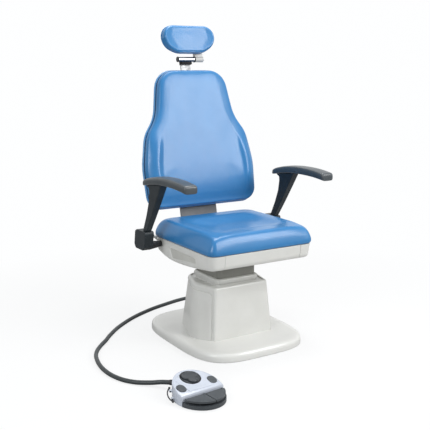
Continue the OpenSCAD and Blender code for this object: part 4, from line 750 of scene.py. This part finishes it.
shell_form = merged_copy("seat_shell")
for side, name in BOTH:
    # A thin darker sheet on the recess floor is painted shade.
    add_piece("seat_shell.recess_%s" % name, recess_form(side, RECESS_SHADE_SHEET), "beige_plastic", "seat",
              material=recess_shade_look)
    shell_form = cut_out(shell_form, recess_form(side, RECESS_CUT))
finish_node("seat_shell", shell_form, 0.0016, 40, 3)

# Column: a groove is cut round the panel in each side cover. It runs up beside the front seam and turns
# back along the top; its places are along Y and Z.
GROOVE_R = 0.0028
GROOVE = [(-0.1475, 0.0425), (-0.1445, 0.080), (-0.1405, 0.120), (-0.1365, 0.160), (-0.1325, 0.200),
          (-0.129, 0.232), (-0.1255, 0.240), (-0.119, 0.2445), (-0.110, 0.2462)]
GROOVE += [(0.001 * y, 0.247) for y in range(-95, 76, 6)]


def groove_cutter(cover, side):
    surface = BVHTree.FromBMesh(cover)
    line = [surface.ray_cast(Vector((side * 0.5, y, z)), Vector((-side, 0, 0)))[0] for y, z in GROOVE]
    rings = []
    for i, place in enumerate(line):
        ahead = (line[min(i + 1, len(line) - 1)] - line[max(i - 1, 0)]).normalized()
        across = ahead.cross(Vector((1, 0, 0))).normalized()
        out = across.cross(ahead)
        rings.append([place + (across * cos(pi * k / 4) + out * sin(pi * k / 4)) * GROOVE_R
                      for k in range(8)])
    return ringed(rings)


for side, name in BOTH:
    cover = merged_copy("column_%s_cover" % name)
    finish_node("column_%s_cover" % name, cut_out(cover, groove_cutter(cover, side)), 0.0006, 40)

# A rounded wiper ring stands round the foot of the neck
NECK_HALF, NECK_R, COLLAR_TOP = 0.1004, 0.012, 0.2828


def wiper_line(out, z):
    w = NECK_HALF + out
    ring = outline([(w, w), (-w, w), (-w, -w), (w, -w)], [NECK_R + out] * 4, [4] * 4)
    return [Vector((p.x, p.y + MAST_Y, z)) for p in ring]


wiper = ringed([wiper_line(out, COLLAR_TOP + z) for out, z in
                [(0.0004, 0), (0.0106, 0), (0.0108, 0.001), (0.0104, 0.011), (0.0092, 0.0152), (0.0068, 0.018),
                 (0.0036, 0.0194), (0.0008, 0.0198), (0.0004, 0.0192), (0.0004, 0)]], False)
bmesh.ops.remove_doubles(wiper, verts=wiper.verts, dist=CLOSED_SEAM)
bmesh.ops.recalc_face_normals(wiper, faces=wiper.faces)
add_piece("neck.wiper_ring", wiper, "beige_plastic", "base", angle=50)

made_here = ("back_cushion", "back_shell", "seat_cushion", "headrest_pad", "armrest_pad_left",
             "armrest_pad_right", "foot_cable", "base_cover", "seat_shell", "column_left_cover",
             "column_right_cover")
# Every other node keeps its own shape. Names are given by their start; edges by width and segments.
PLAIN_EDGE = (0.0006, 2)
soft_edges = {"armrest_post": (0.004, 3), "armrest_block": (0.007, 4), "headrest_link": (0.0025, 3),
              "column": (0.0025, 3), "seat_front_panel": (0.0022, 3), "foot_housing": (0.0012, 3),
              "rocker_cap": (0.002, 3), "neck_cover": (0.0015, 2)}
# The looks given here for the neck, the armrest posts and blocks, and the clamp are darker copies that carry
# painted shade.
own_look = {"neck_cover": neck_shade_look, "rocker_cap": dial_look, "headrest_bar": bar_look,
            "headrest_clamp": clamp_shade_look, "armrest_post": post_shade_look, "armrest_block": post_shade_look}


def by_start(table, node, usual):
    return next((value for start, value in table.items() if node.startswith(start)), usual)


for node in frame["nodes"]:
    if node not in made_here:
        width, steps = by_start(soft_edges, node, PLAIN_EDGE)
        finish_node(node, merged_copy(node), width, segments=steps, material=by_start(own_look, node, None))

# Room light: white where it is seen, mirrored or looked at through glass, and dim where it lights
ROOM_WHITE, ROOM_LIGHT = (0.99, 0.996, 1, 1), 0.28


def combined(tree, operation, first, second):
    node = tree.nodes.new("ShaderNodeMath")
    node.operation = operation
    tree.links.new(first, node.inputs[0])
    tree.links.new(second, node.inputs[1])
    return node.outputs[0]


world = bpy.data.worlds.new("studio")
scene.world = world
world.use_nodes = True
tree = world.node_tree
rays = tree.nodes.new("ShaderNodeLightPath").outputs
mirrored_or_clear = combined(tree, "MAXIMUM", rays["Is Glossy Ray"], rays["Is Transmission Ray"])
seen = combined(tree, "MAXIMUM", rays["Is Camera Ray"], mirrored_or_clear)
tree.links.new(spread(tree, seen, 0, 1, ROOM_LIGHT, 1.0), tree.nodes["Background"].inputs["Strength"])
tree.nodes["Background"].inputs["Color"].default_value = ROOM_WHITE

# Floor: it fades to the room's white away from the chair and keeps the chair's shadow close by. The camera
# sees it paler than the light that it throws back would make it.
FLOOR_HALF, FLOOR_SEEN, FLOOR_BOUNCE, FADE_FROM, FADE_TO, FADE_LEAST = 14, 0.82, 0.5, 0.7, 1.9, 0.8
bm = bmesh.new()
bmesh.ops.create_grid(bm, x_segments=1, y_segments=1, size=FLOOR_HALF)
floor = bare_piece("floor", bm)
floor_look, tree, shader = start_material("pale_floor", (FLOOR_SEEN,) * 3, 0.75)
shader.inputs["Specular IOR Level"].default_value = 0.1
glow = tree.nodes.new("ShaderNodeEmission")
glow.inputs["Color"].default_value = ROOM_WHITE
blend = tree.nodes.new("ShaderNodeMixShader")
camera_ray = tree.nodes.new("ShaderNodeLightPath").outputs["Is Camera Ray"]
away = tree.nodes.new("ShaderNodeVectorMath")
away.operation = "LENGTH"
tree.links.new(object_point(tree), away.inputs[0])
fade = spread(tree, away.outputs["Value"], FADE_FROM, FADE_TO, FADE_LEAST, 1)
tree.links.new(spread(tree, camera_ray, 0, 1, FLOOR_BOUNCE, FLOOR_SEEN), shader.inputs["Base Color"])
tree.links.new(combined(tree, "MULTIPLY", camera_ray, fade), blend.inputs["Fac"])
tree.links.new(shader.outputs[0], blend.inputs[1])
tree.links.new(glow.outputs[0], blend.inputs[2])
tree.links.new(blend.outputs[0], tree.nodes["Material Output"].inputs["Surface"])
floor.data.materials.append(floor_look)


def lamp(name, place, aim, size, power, colour=(1, 1, 1)):
    light = bpy.data.lights.new(name, "AREA")
    light.shape, light.size, light.size_y = "RECTANGLE", *size
    light.energy, light.color = power, colour
    holder = bpy.data.objects.new(name, light)
    scene.collection.objects.link(holder)
    holder.location = place
    holder.rotation_euler = (Vector(aim) - Vector(place)).to_track_quat("-Z", "Y").to_euler()


lamp("key", (1.75, -2.85, 2.35), (0, 0, 0.75), (1.6, 2.0), 105)
lamp("fill", (-3.0, -1.2, 1.9), (0, 0, 0.6), (1.4, 1.4), 48, (0.96, 0.98, 1))
lamp("top", (0.3, 0.3, 3.4), (0, 0, 0.5), (1.6, 1.6), 66)
